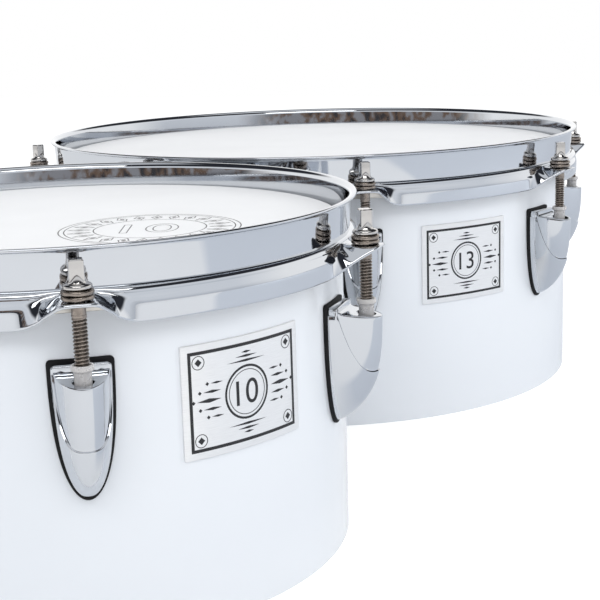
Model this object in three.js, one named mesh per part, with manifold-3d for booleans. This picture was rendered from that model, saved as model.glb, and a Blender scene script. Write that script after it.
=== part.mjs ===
// A pair of marching tenor drums, 10 inch and 13 inch, bolted side by side.
// Millimetres, +Z up. The open bottom edges of both shells stand at z = 0, and +Y runs from the
// axis of the small drum to the axis of the large one. Drops are measured down from the top of
// the hoops, and reaches are measured outwards from the outside of a shell.

import * as THREE from 'three';
import { mergeVertices } from 'three/addons/utils/BufferGeometryUtils.js';
import Module from 'manifold-3d';

const wasm = await Module();
wasm.setup();
const degrees = THREE.MathUtils.degToRad;

// The two drums
const smallShellRadius = 127;
const largeShellRadius = 165.1;
const smallLugCount = 6;
const largeLugCount = 8;
const smallFirstLugAngle = degrees(-56.4);
const largeFirstLugAngle = degrees(-60.6);
const drumHeight = 155;
const rimGap = 20.3;

// Clearances shared by all pieces
const fitGap = 0.3;
const overrun = 3;
const weldTolerance = 0.0001;

// Plywood shell, with its bearing edge at the top
const shellWall = 6;
const edgeBevel = 1.5;

// Plastic film head, turned down over the bearing edge into its flesh hoop
const headDrop = 11.2;
const filmThickness = 0.5;
const collarDrop = 22;

// Aluminium flesh hoop round the collar of the head
const fleshHoopWidth = 3.2;
const fleshHoopTopDrop = 17.5;
const fleshHoopBottomDrop = 24.5;

// Pressed steel counter hoop: lip, wall, bead over the flesh hoop, and skirt drawn out into ears
const hoopSheet = 1.5;
const lipReach = 6.92;
const lipRound = 2.6;
const wallReach = 3.8;
const beadTopDrop = 15.3;
const beadRound = 1.3;
const earTopDrop = 17.6;
const earReach = 22.5;
const earHalfFlat = 6.5;
const earHalfSpread = 20;
const skirtReach = 7.6;
const skirtDrop = 29.4;

// Tension rod with a square head, a round collar and two captive washers
const rodReach = 15;
const rodRadius = 2.75;
const rodHeadDrop = 2.9;
const rodHeadHalfSide = 2.95;
const rodHeadChamfer = 0.4;
const rodBellTopDrop = 7;
const rodCollarTopDrop = 11.2;
const rodCollarRadius = 5.5;
const washerRadius = 6;
const washerThickness = 1.9;
const rodTipDrop = 66;
const rodTipChamfer = 0.8;
const rodTurnPerLug = degrees(37);

// Shield-shaped rubber gasket between a lug and the shell
const gasketTopDrop = 42.1;
const gasketTipDrop = 96.4;
const gasketHalfWidth = 12.4;
const gasketThickness = 1.3;
const gasketCorner = 1.6;

// Die-cast lug: a flat base plate with a bullet-shaped body that holds the rod
const lugInset = 1.4;
const lugBaseThickness = 3.7;
const lugStep = 2.6;
const lugReach = 22.4;
const lugTopFall = 2.1;
const lugNoseHalfWidth = 4.7;
const lugBodyTipMargin = 0.7;
const lugBoreRadius = 3.45;
const lugBoreDepth = 21;

// Curved badge plate between the first two lugs of each drum
const badgeWidth = 58.7;
const badgeHeight = 45.1;
const badgeTopDrop = 42.6;
const badgeThickness = 0.8;

// Spacer block that carries one shell on the other, its inner plates and its four bolts
const blockWidth = 44;
const blockHeight = 56;
const blockTopDrop = 58;
const blockWall = 9;
const blockCorner = 4;
const plateWidth = 52;
const plateHeight = 66;
const plateThickness = 2.5;
const boltRadius = 3;
const boltSpacing = 34;
const boltHeadHalfAcross = 5.4;
const boltHeadHeight = 4;
const boltFlangeRadius = 6.6;
const boltFlangeThickness = 1.2;
const boltGrip = 8;

// Shares and counts that shape the outlines
const shieldPowerShares = { along: 2.7, across: 0.5 };
const gasketLevelShares = [0.03, 0.35, 0.6, 0.77, 0.89, 0.96, 0.995];
const lugLevelShares = [0.25, 0.5, 0.68, 0.82, 0.93];
const noseTaperShare = 0.35;
const bodyFallPower = 5;
const flankBulgeShares = { across: 0.62, out: 0.5 };
const noseRoundShares = { across: 0.72, out: 0.28 };
const gasketColumns = 2;
const badgeColumns = 6;
const plateColumns = 4;
const rodSides = 8;
const boltSides = 12;
const boreSides = 10;
const arcSteps = 8;
const earStationShares = [0.3, 0.62, 1];
const smallPlainStations = 4;
const largePlainStations = 3;

// Sizes worked out from those above
const earHoleRadius = rodRadius + 2 * fitGap;
const collarInner = fitGap;
const collarOuter = collarInner + filmThickness;
const fleshHoopInner = collarOuter + fitGap;
const fleshHoopOuter = fleshHoopInner + fleshHoopWidth;
const beadInner = fleshHoopOuter + fitGap;
const beadReach = beadInner + hoopSheet;
const wallInner = wallReach - hoopSheet;
const shellTopDrop = headDrop + filmThickness + fitGap;
const gasketOuter = fitGap + gasketThickness;
const lugBack = gasketOuter + fitGap;
const lugTopDrop = gasketTopDrop + lugInset;
const lugTipDrop = gasketTipDrop - lugInset;
const washerBottomDrop = earTopDrop - fitGap;
const washerTopDrop = washerBottomDrop - 2 * washerThickness;
const boltHoleRadius = boltRadius + fitGap;
const axisDistance = smallShellRadius + largeShellRadius + 2 * lipReach + rimGap;
const boltDrops = [blockTopDrop + (blockHeight - boltSpacing) / 2,
  blockTopDrop + (blockHeight + boltSpacing) / 2];

const heightAt = (drop) => drumHeight - drop;

// Points at a radius and a height, in the half plane at an angle round the drum's axis
function polar(radius, height, angle) {
  return new THREE.Vector3(radius * Math.cos(angle), radius * Math.sin(angle), height);
}

// Skin stretched over rings of equally many points: a closed loop of rings, or a stack with ends
function loft(rings, closed) {
  const count = rings[0].length;
  const points = rings.flat();
  const faces = [];
  const addFace = (a, b, c) => {
    const [p, q, r] = [points[a], points[b], points[c]];
    const shortest = Math.min(p.distanceTo(q), q.distanceTo(r), r.distanceTo(p));
    if (shortest > weldTolerance) faces.push(a, b, c);
  };
  const spans = closed ? rings.length : rings.length - 1;
  for (let i = 0; i < spans; i += 1) {
    const here = i * count;
    const next = ((i + 1) % rings.length) * count;
    for (let j = 0; j < count; j += 1) {
      const k = (j + 1) % count;
      addFace(here + j, here + k, next + k);
      addFace(here + j, next + k, next + j);
    }
  }
  if (!closed) {
    const last = (rings.length - 1) * count;
    for (const [ring, start, forwards] of [[rings[0], 0, false], [rings.at(-1), last, true]]) {
      const flat = ring.map((p) => new THREE.Vector2(p.x, p.y));
      const ringTurn = Math.sign(THREE.ShapeUtils.area(flat));
      for (const [a, b, c] of THREE.ShapeUtils.triangulateShape(flat, [])) {
        const faceTurn = Math.sign(THREE.ShapeUtils.area([flat[a], flat[b], flat[c]]));
        if ((faceTurn === ringTurn) === forwards) addFace(start + a, start + b, start + c);
        else addFace(start + a, start + c, start + b);
      }
    }
  }
  return facedOutwards(points, faces);
}

// Geometry of a closed skin, with its faces turned so that the volume inside is positive
function facedOutwards(points, faces) {
  let volume = 0;
  for (let i = 0; i < faces.length; i += 3) {
    const [p, q, r] = [points[faces[i]], points[faces[i + 1]], points[faces[i + 2]]];
    volume += p.dot(new THREE.Vector3().crossVectors(q, r));
  }
  const index = volume > 0 ? faces : faces.toReversed();
  const skin = new THREE.BufferGeometry().setFromPoints(points).setIndex(index);
  const welded = mergeVertices(skin, weldTolerance);
  welded.computeVertexNormals();
  return welded;
}

function toSolid(geometry) {
  const bare = geometry.clone();
  bare.deleteAttribute('normal');
  bare.deleteAttribute('uv');
  const welded = mergeVertices(bare, weldTolerance);
  return new wasm.Manifold(new wasm.Mesh({
    numProp: 3,
    vertProperties: new Float32Array(welded.attributes.position.array),
    triVerts: new Uint32Array(welded.index.array),
  }));
}

function toGeometry(solid) {
  const mesh = solid.getMesh();
  const geometry = new THREE.BufferGeometry();
  geometry.setAttribute('position', new THREE.BufferAttribute(mesh.vertProperties, 3));
  geometry.setIndex(new THREE.BufferAttribute(mesh.triVerts, 1));
  geometry.computeVertexNormals();
  return geometry;
}

function cutAway(geometry, tools) {
  let solid = toSolid(geometry);
  for (const tool of tools) solid = solid.subtract(toSolid(tool));
  return toGeometry(solid);
}

function joined(first, second) {
  return toGeometry(toSolid(first).add(toSolid(second)));
}

// Upright round bar or drill between two heights, at a distance from the drum's axis
function uprightBar(radius, bottom, top, distance, angle, sides) {
  const bar = new THREE.CylinderGeometry(radius, radius, top - bottom, sides);
  bar.rotateX(Math.PI / 2);
  const place = polar(distance, (top + bottom) / 2, angle);
  return bar.translate(place.x, place.y, place.z);
}

// Round or six-sided bar along Y, from one place to another
function lengthwiseBar(radius, from, to, height, sides) {
  const bar = new THREE.CylinderGeometry(radius, radius, Math.abs(to - from), sides);
  return bar.translate(0, (from + to) / 2, height);
}

// Sheet that follows a cylinder, outlined by rows of a height and a half width, facing +X
function curvedSheet(rows, innerRadius, thickness, columns) {
  const rings = rows.map(({ height, half }) => {
    const ring = [];
    for (let i = 0; i <= columns; i += 1) {
      const across = half * (2 * i / columns - 1);
      ring.push(polar(innerRadius, height, across / innerRadius));
    }
    for (let i = columns; i >= 0; i -= 1) {
      const across = half * (2 * i / columns - 1);
      ring.push(polar(innerRadius + thickness, height, across / innerRadius));
    }
    return ring;
  });
  return loft(rings, false);
}

// Half width of the shield outline, from its flat top at 0 to its tip at 1
function shieldHalfWidth(share, halfWidth) {
  return halfWidth * (1 - share ** shieldPowerShares.along) ** shieldPowerShares.across;
}

const materials = {
  shell: new THREE.MeshStandardMaterial({ color: 0xe9edf3, roughness: 0.16, metalness: 0 }),
  film: new THREE.MeshStandardMaterial({ color: 0xf4f4f2, roughness: 0.5, metalness: 0 }),
  chrome: new THREE.MeshStandardMaterial({ color: 0xc9cdd3, roughness: 0.08, metalness: 1 }),
  nickel: new THREE.MeshStandardMaterial({ color: 0xa39a90, roughness: 0.28, metalness: 1 }),
  aluminium: new THREE.MeshStandardMaterial({ color: 0xb9bbbd, roughness: 0.35, metalness: 1 }),
  rubber: new THREE.MeshStandardMaterial({ color: 0x0d0d0f, roughness: 0.75, metalness: 0 }),
  badge: new THREE.MeshStandardMaterial({ color: 0xd9d6cb, roughness: 0.35, metalness: 0.8 }),
};

function named(name, geometry, material) {
  const mesh = new THREE.Mesh(geometry, material);
  mesh.name = name;
  return mesh;
}

// Angles round a drum at which its rings are cut, close together at each ear
function ringStations(drum) {
  const step = 2 * Math.PI / drum.lugCount;
  const spread = earHalfSpread / (drum.shellRadius + rodReach);
  const plainStep = (step - 2 * spread) / (drum.plainStations + 1);
  const stations = [];
  for (let lug = 0; lug < drum.lugCount; lug += 1) {
    const middle = drum.firstLugAngle + lug * step;
    for (const share of earStationShares.toReversed()) stations.push(middle - share * spread);
    for (const share of earStationShares) stations.push(middle + share * spread);
    for (let i = 1; i <= drum.plainStations; i += 1) {
      stations.push(middle + spread + plainStep * i);
    }
  }
  return stations;
}

// How far the flat facets between two stations lie inside the round of the shell
function facetSag(drum) {
  const stations = ringStations(drum);
  const widest = Math.max(...stations.slice(1).map((angle, i) => angle - stations[i]));
  return drum.shellRadius * (1 - Math.cos(widest / 2));
}

// Ring with the same section all round, given as reaches and drops
function ringOf(drum, section) {
  const rings = ringStations(drum).map((angle) => section.map(
    ([reach, drop]) => polar(Math.max(0, drum.shellRadius + reach), heightAt(drop), angle),
  ));
  return loft(rings, true);
}

function shellGeometry(drum) {
  const foot = drumHeight;
  const section = [
    [0, foot], [0, shellTopDrop + edgeBevel], [-edgeBevel, shellTopDrop],
    [-shellWall, shellTopDrop + shellWall - edgeBevel], [-shellWall, foot],
  ];
  const side = drum.towardsOther;
  const near = side * (drum.shellRadius - shellWall - overrun);
  const far = side * (drum.shellRadius + overrun);
  const drills = boltDrops.map(
    (drop) => lengthwiseBar(boltHoleRadius, near, far, heightAt(drop), boltSides),
  );
  return cutAway(ringOf(drum, section), drills);
}

// One skin from the middle of the film, over the bearing edge and down to the end of the collar
function headGeometry(drum) {
  const middle = -drum.shellRadius;
  const under = headDrop + filmThickness;
  const corner = fitGap - edgeBevel;
  return ringOf(drum, [
    [middle, headDrop], [corner + filmThickness / 2, headDrop],
    [collarOuter, under + edgeBevel - filmThickness / 2], [collarOuter, collarDrop],
    [collarInner, collarDrop], [collarInner, under + edgeBevel], [corner, under], [middle, under],
  ]);
}

function fleshHoopGeometry(drum) {
  return ringOf(drum, [
    [fleshHoopInner, fleshHoopTopDrop], [fleshHoopOuter, fleshHoopTopDrop],
    [fleshHoopOuter, fleshHoopBottomDrop], [fleshHoopInner, fleshHoopBottomDrop],
  ]);
}

// 1 on the flat of an ear, falling smoothly to 0 on the plain skirt between two ears
function earShareAt(drum, angle) {
  const step = 2 * Math.PI / drum.lugCount;
  const turns = (angle - drum.firstLugAngle) / step;
  const offset = Math.abs(turns - Math.round(turns)) * step * (drum.shellRadius + rodReach);
  return 1 - THREE.MathUtils.smoothstep(offset, earHalfFlat, earHalfSpread);
}

function counterHoopGeometry(drum) {
  const rings = ringStations(drum).map((angle) => {
    const ear = earShareAt(drum, angle);
    const edgeReach = THREE.MathUtils.lerp(skirtReach, earReach, ear);
    const edgeDrop = THREE.MathUtils.lerp(skirtDrop, earTopDrop, ear);
    const section = [
      [lipReach, 0], [lipReach, hoopSheet], [wallReach, hoopSheet],
      [wallReach, beadTopDrop], [beadReach, beadTopDrop + beadRound], [beadReach, earTopDrop],
      [edgeReach, edgeDrop], [edgeReach - hoopSheet * (1 - ear), edgeDrop + hoopSheet * ear],
      [beadInner, earTopDrop + hoopSheet], [beadInner, fleshHoopTopDrop - fitGap],
      [wallInner, fleshHoopTopDrop - fitGap], [wallInner, lipRound], [wallReach, 0],
    ];
    return section.map(([reach, drop]) => polar(drum.shellRadius + reach, heightAt(drop), angle));
  });
  const bottom = heightAt(earTopDrop + hoopSheet + overrun);
  const top = heightAt(earTopDrop - overrun);
  const distance = drum.shellRadius + rodReach;
  const drills = lugAngles(drum).map(
    (angle) => uprightBar(earHoleRadius, bottom, top, distance, angle, boltSides),
  );
  return cutAway(loft(rings, true), drills);
}

function lugAngles(drum) {
  const step = 2 * Math.PI / drum.lugCount;
  return Array.from({ length: drum.lugCount }, (_, i) => drum.firstLugAngle + i * step);
}

function gasketGeometry(drum) {
  const length = gasketTipDrop - gasketTopDrop;
  const rows = gasketLevelShares.map((share) => ({
    height: heightAt(gasketTopDrop + share * length),
    half: shieldHalfWidth(share, gasketHalfWidth),
  }));
  rows.unshift({ height: heightAt(gasketTopDrop), half: gasketHalfWidth - gasketCorner });
  return curvedSheet(rows, drum.shellRadius + fitGap, gasketThickness, gasketColumns);
}

// Section of the lug at one level: the base plate's back, its edges, the flanks and the nose
function lugRing(drum, drop, baseHalf, noseHalf, reach, fall) {
  const back = drum.shellRadius + lugBack;
  const plate = lugBack + lugBaseThickness;
  const depth = Math.max(0, reach - plate);
  const nose = Math.min(noseHalf, depth);
  const flank = noseHalf + (baseHalf - noseHalf) * flankBulgeShares.across;
  const half = [
    [baseHalf, plate],
    [flank, plate + (depth - nose) * flankBulgeShares.out],
    [noseHalf, reach - nose],
    [noseHalf * noseRoundShares.across, reach - nose * noseRoundShares.out],
  ];
  const outline = [...half, [0, reach], ...half.toReversed().map(([a, r]) => [-a, r])];
  const ring = outline.map(([across, out]) => new THREE.Vector3(
    drum.shellRadius + out, across, heightAt(drop + fall * Math.max(0, out - plate) / lugReach),
  ));
  for (const across of [-baseHalf, 0, baseHalf]) {
    ring.push(polar(back, heightAt(drop), across / back));
  }
  return ring;
}

function lugGeometry(drum) {
  const plate = lugBack + lugBaseThickness;
  const bodyTop = lugTopDrop + lugStep;
  const bodyTip = lugTipDrop - lugBodyTipMargin;
  const baseHalf = gasketHalfWidth - lugInset;
  const plateHalf = baseHalf - gasketCorner;
  const rings = [
    lugRing(drum, lugTopDrop, baseHalf, plateHalf, plate, 0),
    lugRing(drum, bodyTop, baseHalf, plateHalf, plate, 0),
    lugRing(drum, bodyTop, baseHalf, lugNoseHalfWidth, lugReach, lugTopFall),
  ];
  for (const share of lugLevelShares) {
    const drop = bodyTop + share * (bodyTip - bodyTop);
    const along = (drop - lugTopDrop) / (lugTipDrop - lugTopDrop);
    const reach = plate + (lugReach - plate) * (1 - share ** bodyFallPower);
    const noseHalf = Math.min(
      lugNoseHalfWidth * (1 - noseTaperShare * share),
      shieldHalfWidth(along, baseHalf) * flankBulgeShares.across,
    );
    rings.push(lugRing(drum, drop, shieldHalfWidth(along, baseHalf), noseHalf, reach,
      lugTopFall * (1 - share)));
  }
  const tipHalf = shieldHalfWidth(gasketLevelShares.at(-1), baseHalf);
  rings.push(lugRing(drum, lugTipDrop, tipHalf, tipHalf * noseRoundShares.across, plate, 0));
  const bore = uprightBar(lugBoreRadius, heightAt(bodyTop + lugBoreDepth),
    heightAt(bodyTop - overrun), drum.shellRadius + rodReach, 0, boreSides);
  return cutAway(loft(rings, false), [bore]);
}

// Ring of a rod, from round at a square share of 0 to square at 1
function rodRing(drop, radius, squareShare) {
  return Array.from({ length: rodSides }, (_, i) => {
    const corner = i % 2 === 1 ? 1 + (Math.SQRT2 - 1) * squareShare : 1;
    return polar(radius * corner, heightAt(drop), 2 * Math.PI * i / rodSides);
  });
}

function rodGeometry() {
  const bellMiddle = (rodBellTopDrop + rodCollarTopDrop) / 2;
  return loft([
    rodRing(rodTipDrop, rodRadius - rodTipChamfer, 0),
    rodRing(rodTipDrop - rodTipChamfer, rodRadius, 0),
    rodRing(washerBottomDrop, rodRadius, 0),
    rodRing(washerBottomDrop, washerRadius, 0),
    rodRing(washerTopDrop, washerRadius, 0),
    rodRing(washerTopDrop, rodCollarRadius, 0),
    rodRing(rodCollarTopDrop + rodHeadChamfer, rodCollarRadius, 0),
    rodRing(rodCollarTopDrop, (rodCollarRadius + rodHeadHalfSide) / 2, 0),
    rodRing(bellMiddle, rodHeadHalfSide + rodHeadChamfer, 0.5),
    rodRing(rodBellTopDrop, rodHeadHalfSide, 1),
    rodRing(rodHeadDrop + rodHeadChamfer, rodHeadHalfSide, 1),
    rodRing(rodHeadDrop, rodHeadHalfSide - rodHeadChamfer, 1),
  ], false);
}

function badgeGeometry(drum) {
  const rows = [badgeTopDrop, badgeTopDrop + badgeHeight].map((drop) => ({
    height: heightAt(drop), half: badgeWidth / 2,
  }));
  return curvedSheet(rows, drum.shellRadius + fitGap, badgeThickness, badgeColumns);
}

function plateInnerRadius(drum) {
  return drum.shellRadius - shellWall - facetSag(drum) - fitGap - plateThickness;
}

// Plate that spreads the load of two bolts over the inside of the shell
function plateGeometry(drum) {
  const top = blockTopDrop + (blockHeight - plateHeight) / 2;
  const rows = [top, top + plateHeight].map((drop) => ({
    height: heightAt(drop), half: plateWidth / 2,
  }));
  const inner = plateInnerRadius(drum);
  const sheet = curvedSheet(rows, inner, plateThickness, plateColumns);
  sheet.rotateZ(drum.towardsOther * Math.PI / 2);
  const near = drum.towardsOther * (inner - overrun);
  const far = drum.towardsOther * (inner + plateThickness + overrun);
  return cutAway(sheet, boltDrops.map(
    (drop) => lengthwiseBar(boltHoleRadius, near, far, heightAt(drop), boltSides),
  ));
}

// Six-sided bolt with a round flange, its head inside the drum and its end in the block
function boltGeometry(drum, drop) {
  const side = drum.towardsOther;
  const seat = Math.sqrt(plateInnerRadius(drum) ** 2 - boltFlangeRadius ** 2) - fitGap;
  const flange = seat - boltFlangeThickness;
  const tip = drum.shellRadius + fitGap + boltGrip;
  const height = heightAt(drop);
  const shank = lengthwiseBar(boltRadius, side * flange, side * tip, height, boltSides);
  const collar = lengthwiseBar(boltFlangeRadius, side * flange, side * seat, height, boltSides);
  const head = lengthwiseBar(boltHeadHalfAcross, side * (flange - boltHeadHeight),
    side * (flange + boltFlangeThickness / 2), height, 6);
  return joined(joined(collar, shank), head);
}

// Extruded block with a seat for each shell, an open middle and two threaded holes a side
function blockGeometry(small, large) {
  const half = blockWidth / 2;
  const smallSeat = small.shellRadius + fitGap;
  const largeSeat = large.shellRadius + fitGap;
  const smallLean = Math.asin(half / smallSeat);
  const largeLean = Math.asin(half / largeSeat);
  const outline = new THREE.Shape();
  outline.absarc(0, 0, smallSeat, Math.PI / 2 + smallLean, Math.PI / 2 - smallLean, true);
  outline.absarc(0, axisDistance, largeSeat, -Math.PI / 2 + largeLean,
    -Math.PI / 2 - largeLean, true);
  outline.closePath();
  const near = smallSeat + blockWall;
  const far = axisDistance - largeSeat - blockWall;
  const wide = half - blockWall;
  const window = new THREE.Path();
  window.moveTo(-wide + blockCorner, near);
  window.lineTo(wide - blockCorner, near);
  window.lineTo(wide, near + blockCorner);
  window.lineTo(wide, far - blockCorner);
  window.lineTo(wide - blockCorner, far);
  window.lineTo(-wide + blockCorner, far);
  window.lineTo(-wide, far - blockCorner);
  window.lineTo(-wide, near + blockCorner);
  window.closePath();
  outline.holes.push(window);
  const block = new THREE.ExtrudeGeometry(outline, {
    depth: blockHeight, bevelEnabled: false, curveSegments: arcSteps,
  });
  block.translate(0, 0, heightAt(blockTopDrop + blockHeight));
  return cutAway(block, boltDrops.map((drop) => lengthwiseBar(boltHoleRadius,
    smallSeat - overrun, axisDistance - largeSeat + overrun, heightAt(drop), boltSides)));
}

// All the pieces of one drum, in the drum's own group
function makeDrum(drum) {
  const { label } = drum;
  const group = new THREE.Group();
  group.add(named(`shell_${label}`, shellGeometry(drum), materials.shell));
  group.add(named(`head_${label}`, headGeometry(drum), materials.film));
  group.add(named(`flesh_hoop_${label}`, fleshHoopGeometry(drum), materials.aluminium));
  group.add(named(`counter_hoop_${label}`, counterHoopGeometry(drum), materials.chrome));
  const gasket = gasketGeometry(drum);
  const lug = lugGeometry(drum);
  const rod = rodGeometry();
  lugAngles(drum).forEach((angle, i) => {
    const pieces = [
      named(`gasket_${label}_${i + 1}`, gasket, materials.rubber),
      named(`lug_${label}_${i + 1}`, lug, materials.chrome),
    ];
    for (const piece of pieces) {
      piece.rotation.z = angle;
      group.add(piece);
    }
    const tensionRod = named(`tension_rod_${label}_${i + 1}`, rod, materials.nickel);
    tensionRod.position.copy(polar(drum.shellRadius + rodReach, 0, angle));
    tensionRod.rotation.z = angle + i * rodTurnPerLug;
    group.add(tensionRod);
  });
  const badge = named(`badge_${label}`, badgeGeometry(drum), materials.badge);
  badge.rotation.z = drum.firstLugAngle + Math.PI / drum.lugCount;
  group.add(badge);
  group.add(named(`inner_plate_${label}`, plateGeometry(drum), materials.aluminium));
  boltDrops.forEach((drop, i) => {
    const name = `joining_bolt_${label}_${i + 1}`;
    group.add(named(name, boltGeometry(drum, drop), materials.nickel));
  });
  group.position.y = drum.axisPlace;
  return group;
}

const smallDrum = {
  label: '10in',
  shellRadius: smallShellRadius,
  lugCount: smallLugCount,
  firstLugAngle: smallFirstLugAngle,
  plainStations: smallPlainStations,
  axisPlace: 0,
  towardsOther: 1,
};
const largeDrum = {
  label: '13in',
  shellRadius: largeShellRadius,
  lugCount: largeLugCount,
  firstLugAngle: largeFirstLugAngle,
  plainStations: largePlainStations,
  axisPlace: axisDistance,
  towardsOther: -1,
};

const pair = new THREE.Group();
pair.add(makeDrum(smallDrum));
pair.add(makeDrum(largeDrum));
pair.add(named('joining_block', blockGeometry(smallDrum, largeDrum), materials.aluminium));

// The origin lies on the standing surface, under the middle of the whole pair
const middle = new THREE.Box3().setFromObject(pair).getCenter(new THREE.Vector3());
pair.position.set(-middle.x, -middle.y, 0);

const drums = new THREE.Group();
drums.add(pair);

export default drums;
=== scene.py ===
import math

import bmesh
import bpy
from mathutils import Matrix, Vector


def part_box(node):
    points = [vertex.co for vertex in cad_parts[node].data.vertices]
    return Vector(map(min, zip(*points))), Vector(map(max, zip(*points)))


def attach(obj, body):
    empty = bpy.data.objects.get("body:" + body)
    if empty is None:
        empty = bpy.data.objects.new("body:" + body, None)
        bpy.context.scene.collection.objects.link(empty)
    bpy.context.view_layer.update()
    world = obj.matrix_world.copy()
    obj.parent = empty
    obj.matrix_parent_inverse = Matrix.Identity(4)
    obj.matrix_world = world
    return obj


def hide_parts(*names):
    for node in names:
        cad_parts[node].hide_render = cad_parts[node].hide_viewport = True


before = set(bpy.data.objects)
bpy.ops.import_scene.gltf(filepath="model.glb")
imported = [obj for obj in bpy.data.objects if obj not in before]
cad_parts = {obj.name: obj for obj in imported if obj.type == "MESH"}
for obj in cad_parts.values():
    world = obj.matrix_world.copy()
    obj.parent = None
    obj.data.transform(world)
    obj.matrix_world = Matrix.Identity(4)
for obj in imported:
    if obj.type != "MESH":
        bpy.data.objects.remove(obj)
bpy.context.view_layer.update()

# The two drums
# A pair of marching drums, 10 and 13 inches across, with six and eight tension rods. Each is laid
# out round the middle of its ring of rods. Drops are measured down from the top of its hoop, and
# reaches outwards from the outside of its shell.
mm = 0.001
full_turn = 2 * math.pi
quarter_turn = math.pi / 2
rod_reach = 15 * mm


def polar(radius, angle, height):
    """A place at a distance from an upright line, an angle round it and a height."""
    return Vector((radius * math.cos(angle), radius * math.sin(angle), height))


class Drum:
    """One drum of the pair, as the frame places it."""

    def __init__(self, inches, lug_count):
        self.inches = inches
        self.label = f"{inches}in"
        corners = [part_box(f"tension_rod_{self.label}_{n + 1}") for n in range(lug_count)]
        self.rods = [(low + high) / 2 for low, high in corners]
        middle = sum(self.rods, Vector()) / lug_count
        self.axis = Vector((middle.x, middle.y, 0))
        self.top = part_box(f"counter_hoop_{self.label}")[1].z
        self.radius = (self.rods[0] - self.axis).xy.length - rod_reach
        self.angles = [math.atan2(*(rod - self.axis).yx) for rod in self.rods]
        self.lug_step = full_turn / lug_count

    def point(self, reach, drop, angle):
        """A place on the drum, measured from the foot of its axis."""
        return polar(self.radius + reach, angle, self.top - drop)


small = Drum(10, 6)
large = Drum(13, 8)
pair = (small, large)

# Camera
# The place, aim and lens are those at which the photograph shows both hoops, the six nearest
# rods and the two badges.
camera_place = Vector((318.0, -703.3, 235.3)) * mm
camera_azimuth = math.radians(21.39)
camera_pitch = math.radians(12.32)
camera_roll = math.radians(-1.753)
camera_lens = 80.99

camera = bpy.data.objects.new("camera", bpy.data.cameras.new("camera"))
bpy.context.scene.collection.objects.link(camera)
camera.data.lens = camera_lens
camera.data.clip_start = 10 * mm
camera.matrix_world = (
    Matrix.Translation(camera_place)
    @ Matrix.Rotation(camera_azimuth, 4, "Z")
    @ Matrix.Rotation(quarter_turn - camera_pitch, 4, "X")
    @ Matrix.Rotation(camera_roll, 4, "Z")
)
bpy.context.scene.camera = camera

# Shells
# Six plies of maple and poplar are rolled into a tube, with the bearing edge cut at 45 degrees
# round the top. A gloss white sheet is glued round the outside, from just under the head.
shell_wall = 6 * mm
shell_top_drop = 12 * mm
shell_bevel = 1.5 * mm
shell_edge_round = 0.5 * mm
finish_thickness = 0.6 * mm
finish_top_drop = 23 * mm
foot_round = 0.4 * mm
ply_thickness = 1 * mm
drum_stations = 256
doubled_distance = 0.002 * mm
crease = 30
origin = (0, 0, 0)
patch_span = (0.35, 0.68)
line_end = 0.75
white_colour = (0.82, 0.85, 0.89, 1)
ply_light_colour = (0.62, 0.43, 0.25, 1)
ply_dark_colour = (0.40, 0.25, 0.13, 1)


def corners_cut(corners, cuts, steps=6):
    """A line with its corners softened, each by one cut, or by a cut before and one after it."""
    corners = [Vector(corner) for corner in corners]
    line = []
    for i, (corner, cut) in enumerate(zip(corners, cuts)):
        before, after = (cut, cut) if isinstance(cut, (int, float)) else cut
        if before == 0:
            line.append(corner)
            continue
        back = (corners[i - 1] - corner).normalized() * before
        ahead = (corners[(i + 1) % len(corners)] - corner).normalized() * after
        for k in range(steps + 1):
            t = k / steps
            line.append(corner + back * (1 - t) ** 2 + ahead * t ** 2)
    return line


def kept(name, surface):
    """The mesh made of a surface."""
    mesh = bpy.data.meshes.new(name)
    surface.to_mesh(mesh)
    surface.free()
    return mesh


def creased(mesh, sharp):
    """A mesh shaded smooth, with its creases above an angle left sharp."""
    mesh.shade_smooth()
    mesh.set_sharp_from_angle(angle=math.radians(sharp))
    return mesh


def settled(name, surface, sharp):
    """The finished mesh of a piece: no doubled points, faces outwards, creases left sharp."""
    bmesh.ops.remove_doubles(surface, verts=surface.verts, dist=doubled_distance)
    bmesh.ops.recalc_face_normals(surface, faces=surface.faces)
    if surface.calc_volume(signed=True) < 0:
        bmesh.ops.reverse_faces(surface, faces=surface.faces)
    return creased(kept(name, surface), sharp)


def skinned(rows, ring=False):
    """Faces over rows of equally many points. A row is a closed loop, and so is a ring of rows."""
    surface = bmesh.new()
    grid = [[surface.verts.new(point) for point in row] for row in rows]
    for here, ahead in zip(grid, grid[1:] + grid[:1] if ring else grid[1:]):
        for j in range(len(here)):
            k = (j + 1) % len(here)
            surface.faces.new((here[j], here[k], ahead[k], ahead[j]))
    return surface, grid


def woven(name, rows, ring=False, capped=False, sharp=crease):
    """Mesh over rows of points, as a ring of rows or with its first and last row filled."""
    surface, grid = skinned(rows, ring)
    if capped:
        surface.faces.new(grid[0])
        surface.faces.new(grid[-1])
    return settled(name, surface, sharp)


def loose(name, mesh, at=Vector(), turn=0):
    """An object in its place in the scene."""
    made = bpy.data.objects.new(name, mesh)
    bpy.context.scene.collection.objects.link(made)
    made.location = at
    made.rotation_euler.z = turn
    return made


def piece(name, mesh, material, stands_for=None, at=Vector(), turn=0, body="drums"):
    """A piece of the drums: its mesh in its place, with its finish, riding on its body."""
    made = loose(name, mesh, at, turn)
    mesh.materials.clear()
    mesh.materials.append(material)
    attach(made, body)
    if stands_for:
        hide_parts(stands_for)


def angles_of(count):
    """Angles at even steps, once round."""
    return [full_turn * i / count for i in range(count)]


def turned(name, section, stations, place_at):
    """Mesh of a ring: a section, its points put in place at each station round an upright line."""
    rows = [[place_at(p, angle) for p in section] for angle in angles_of(stations)]
    return woven(name, rows, ring=True)


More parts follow.
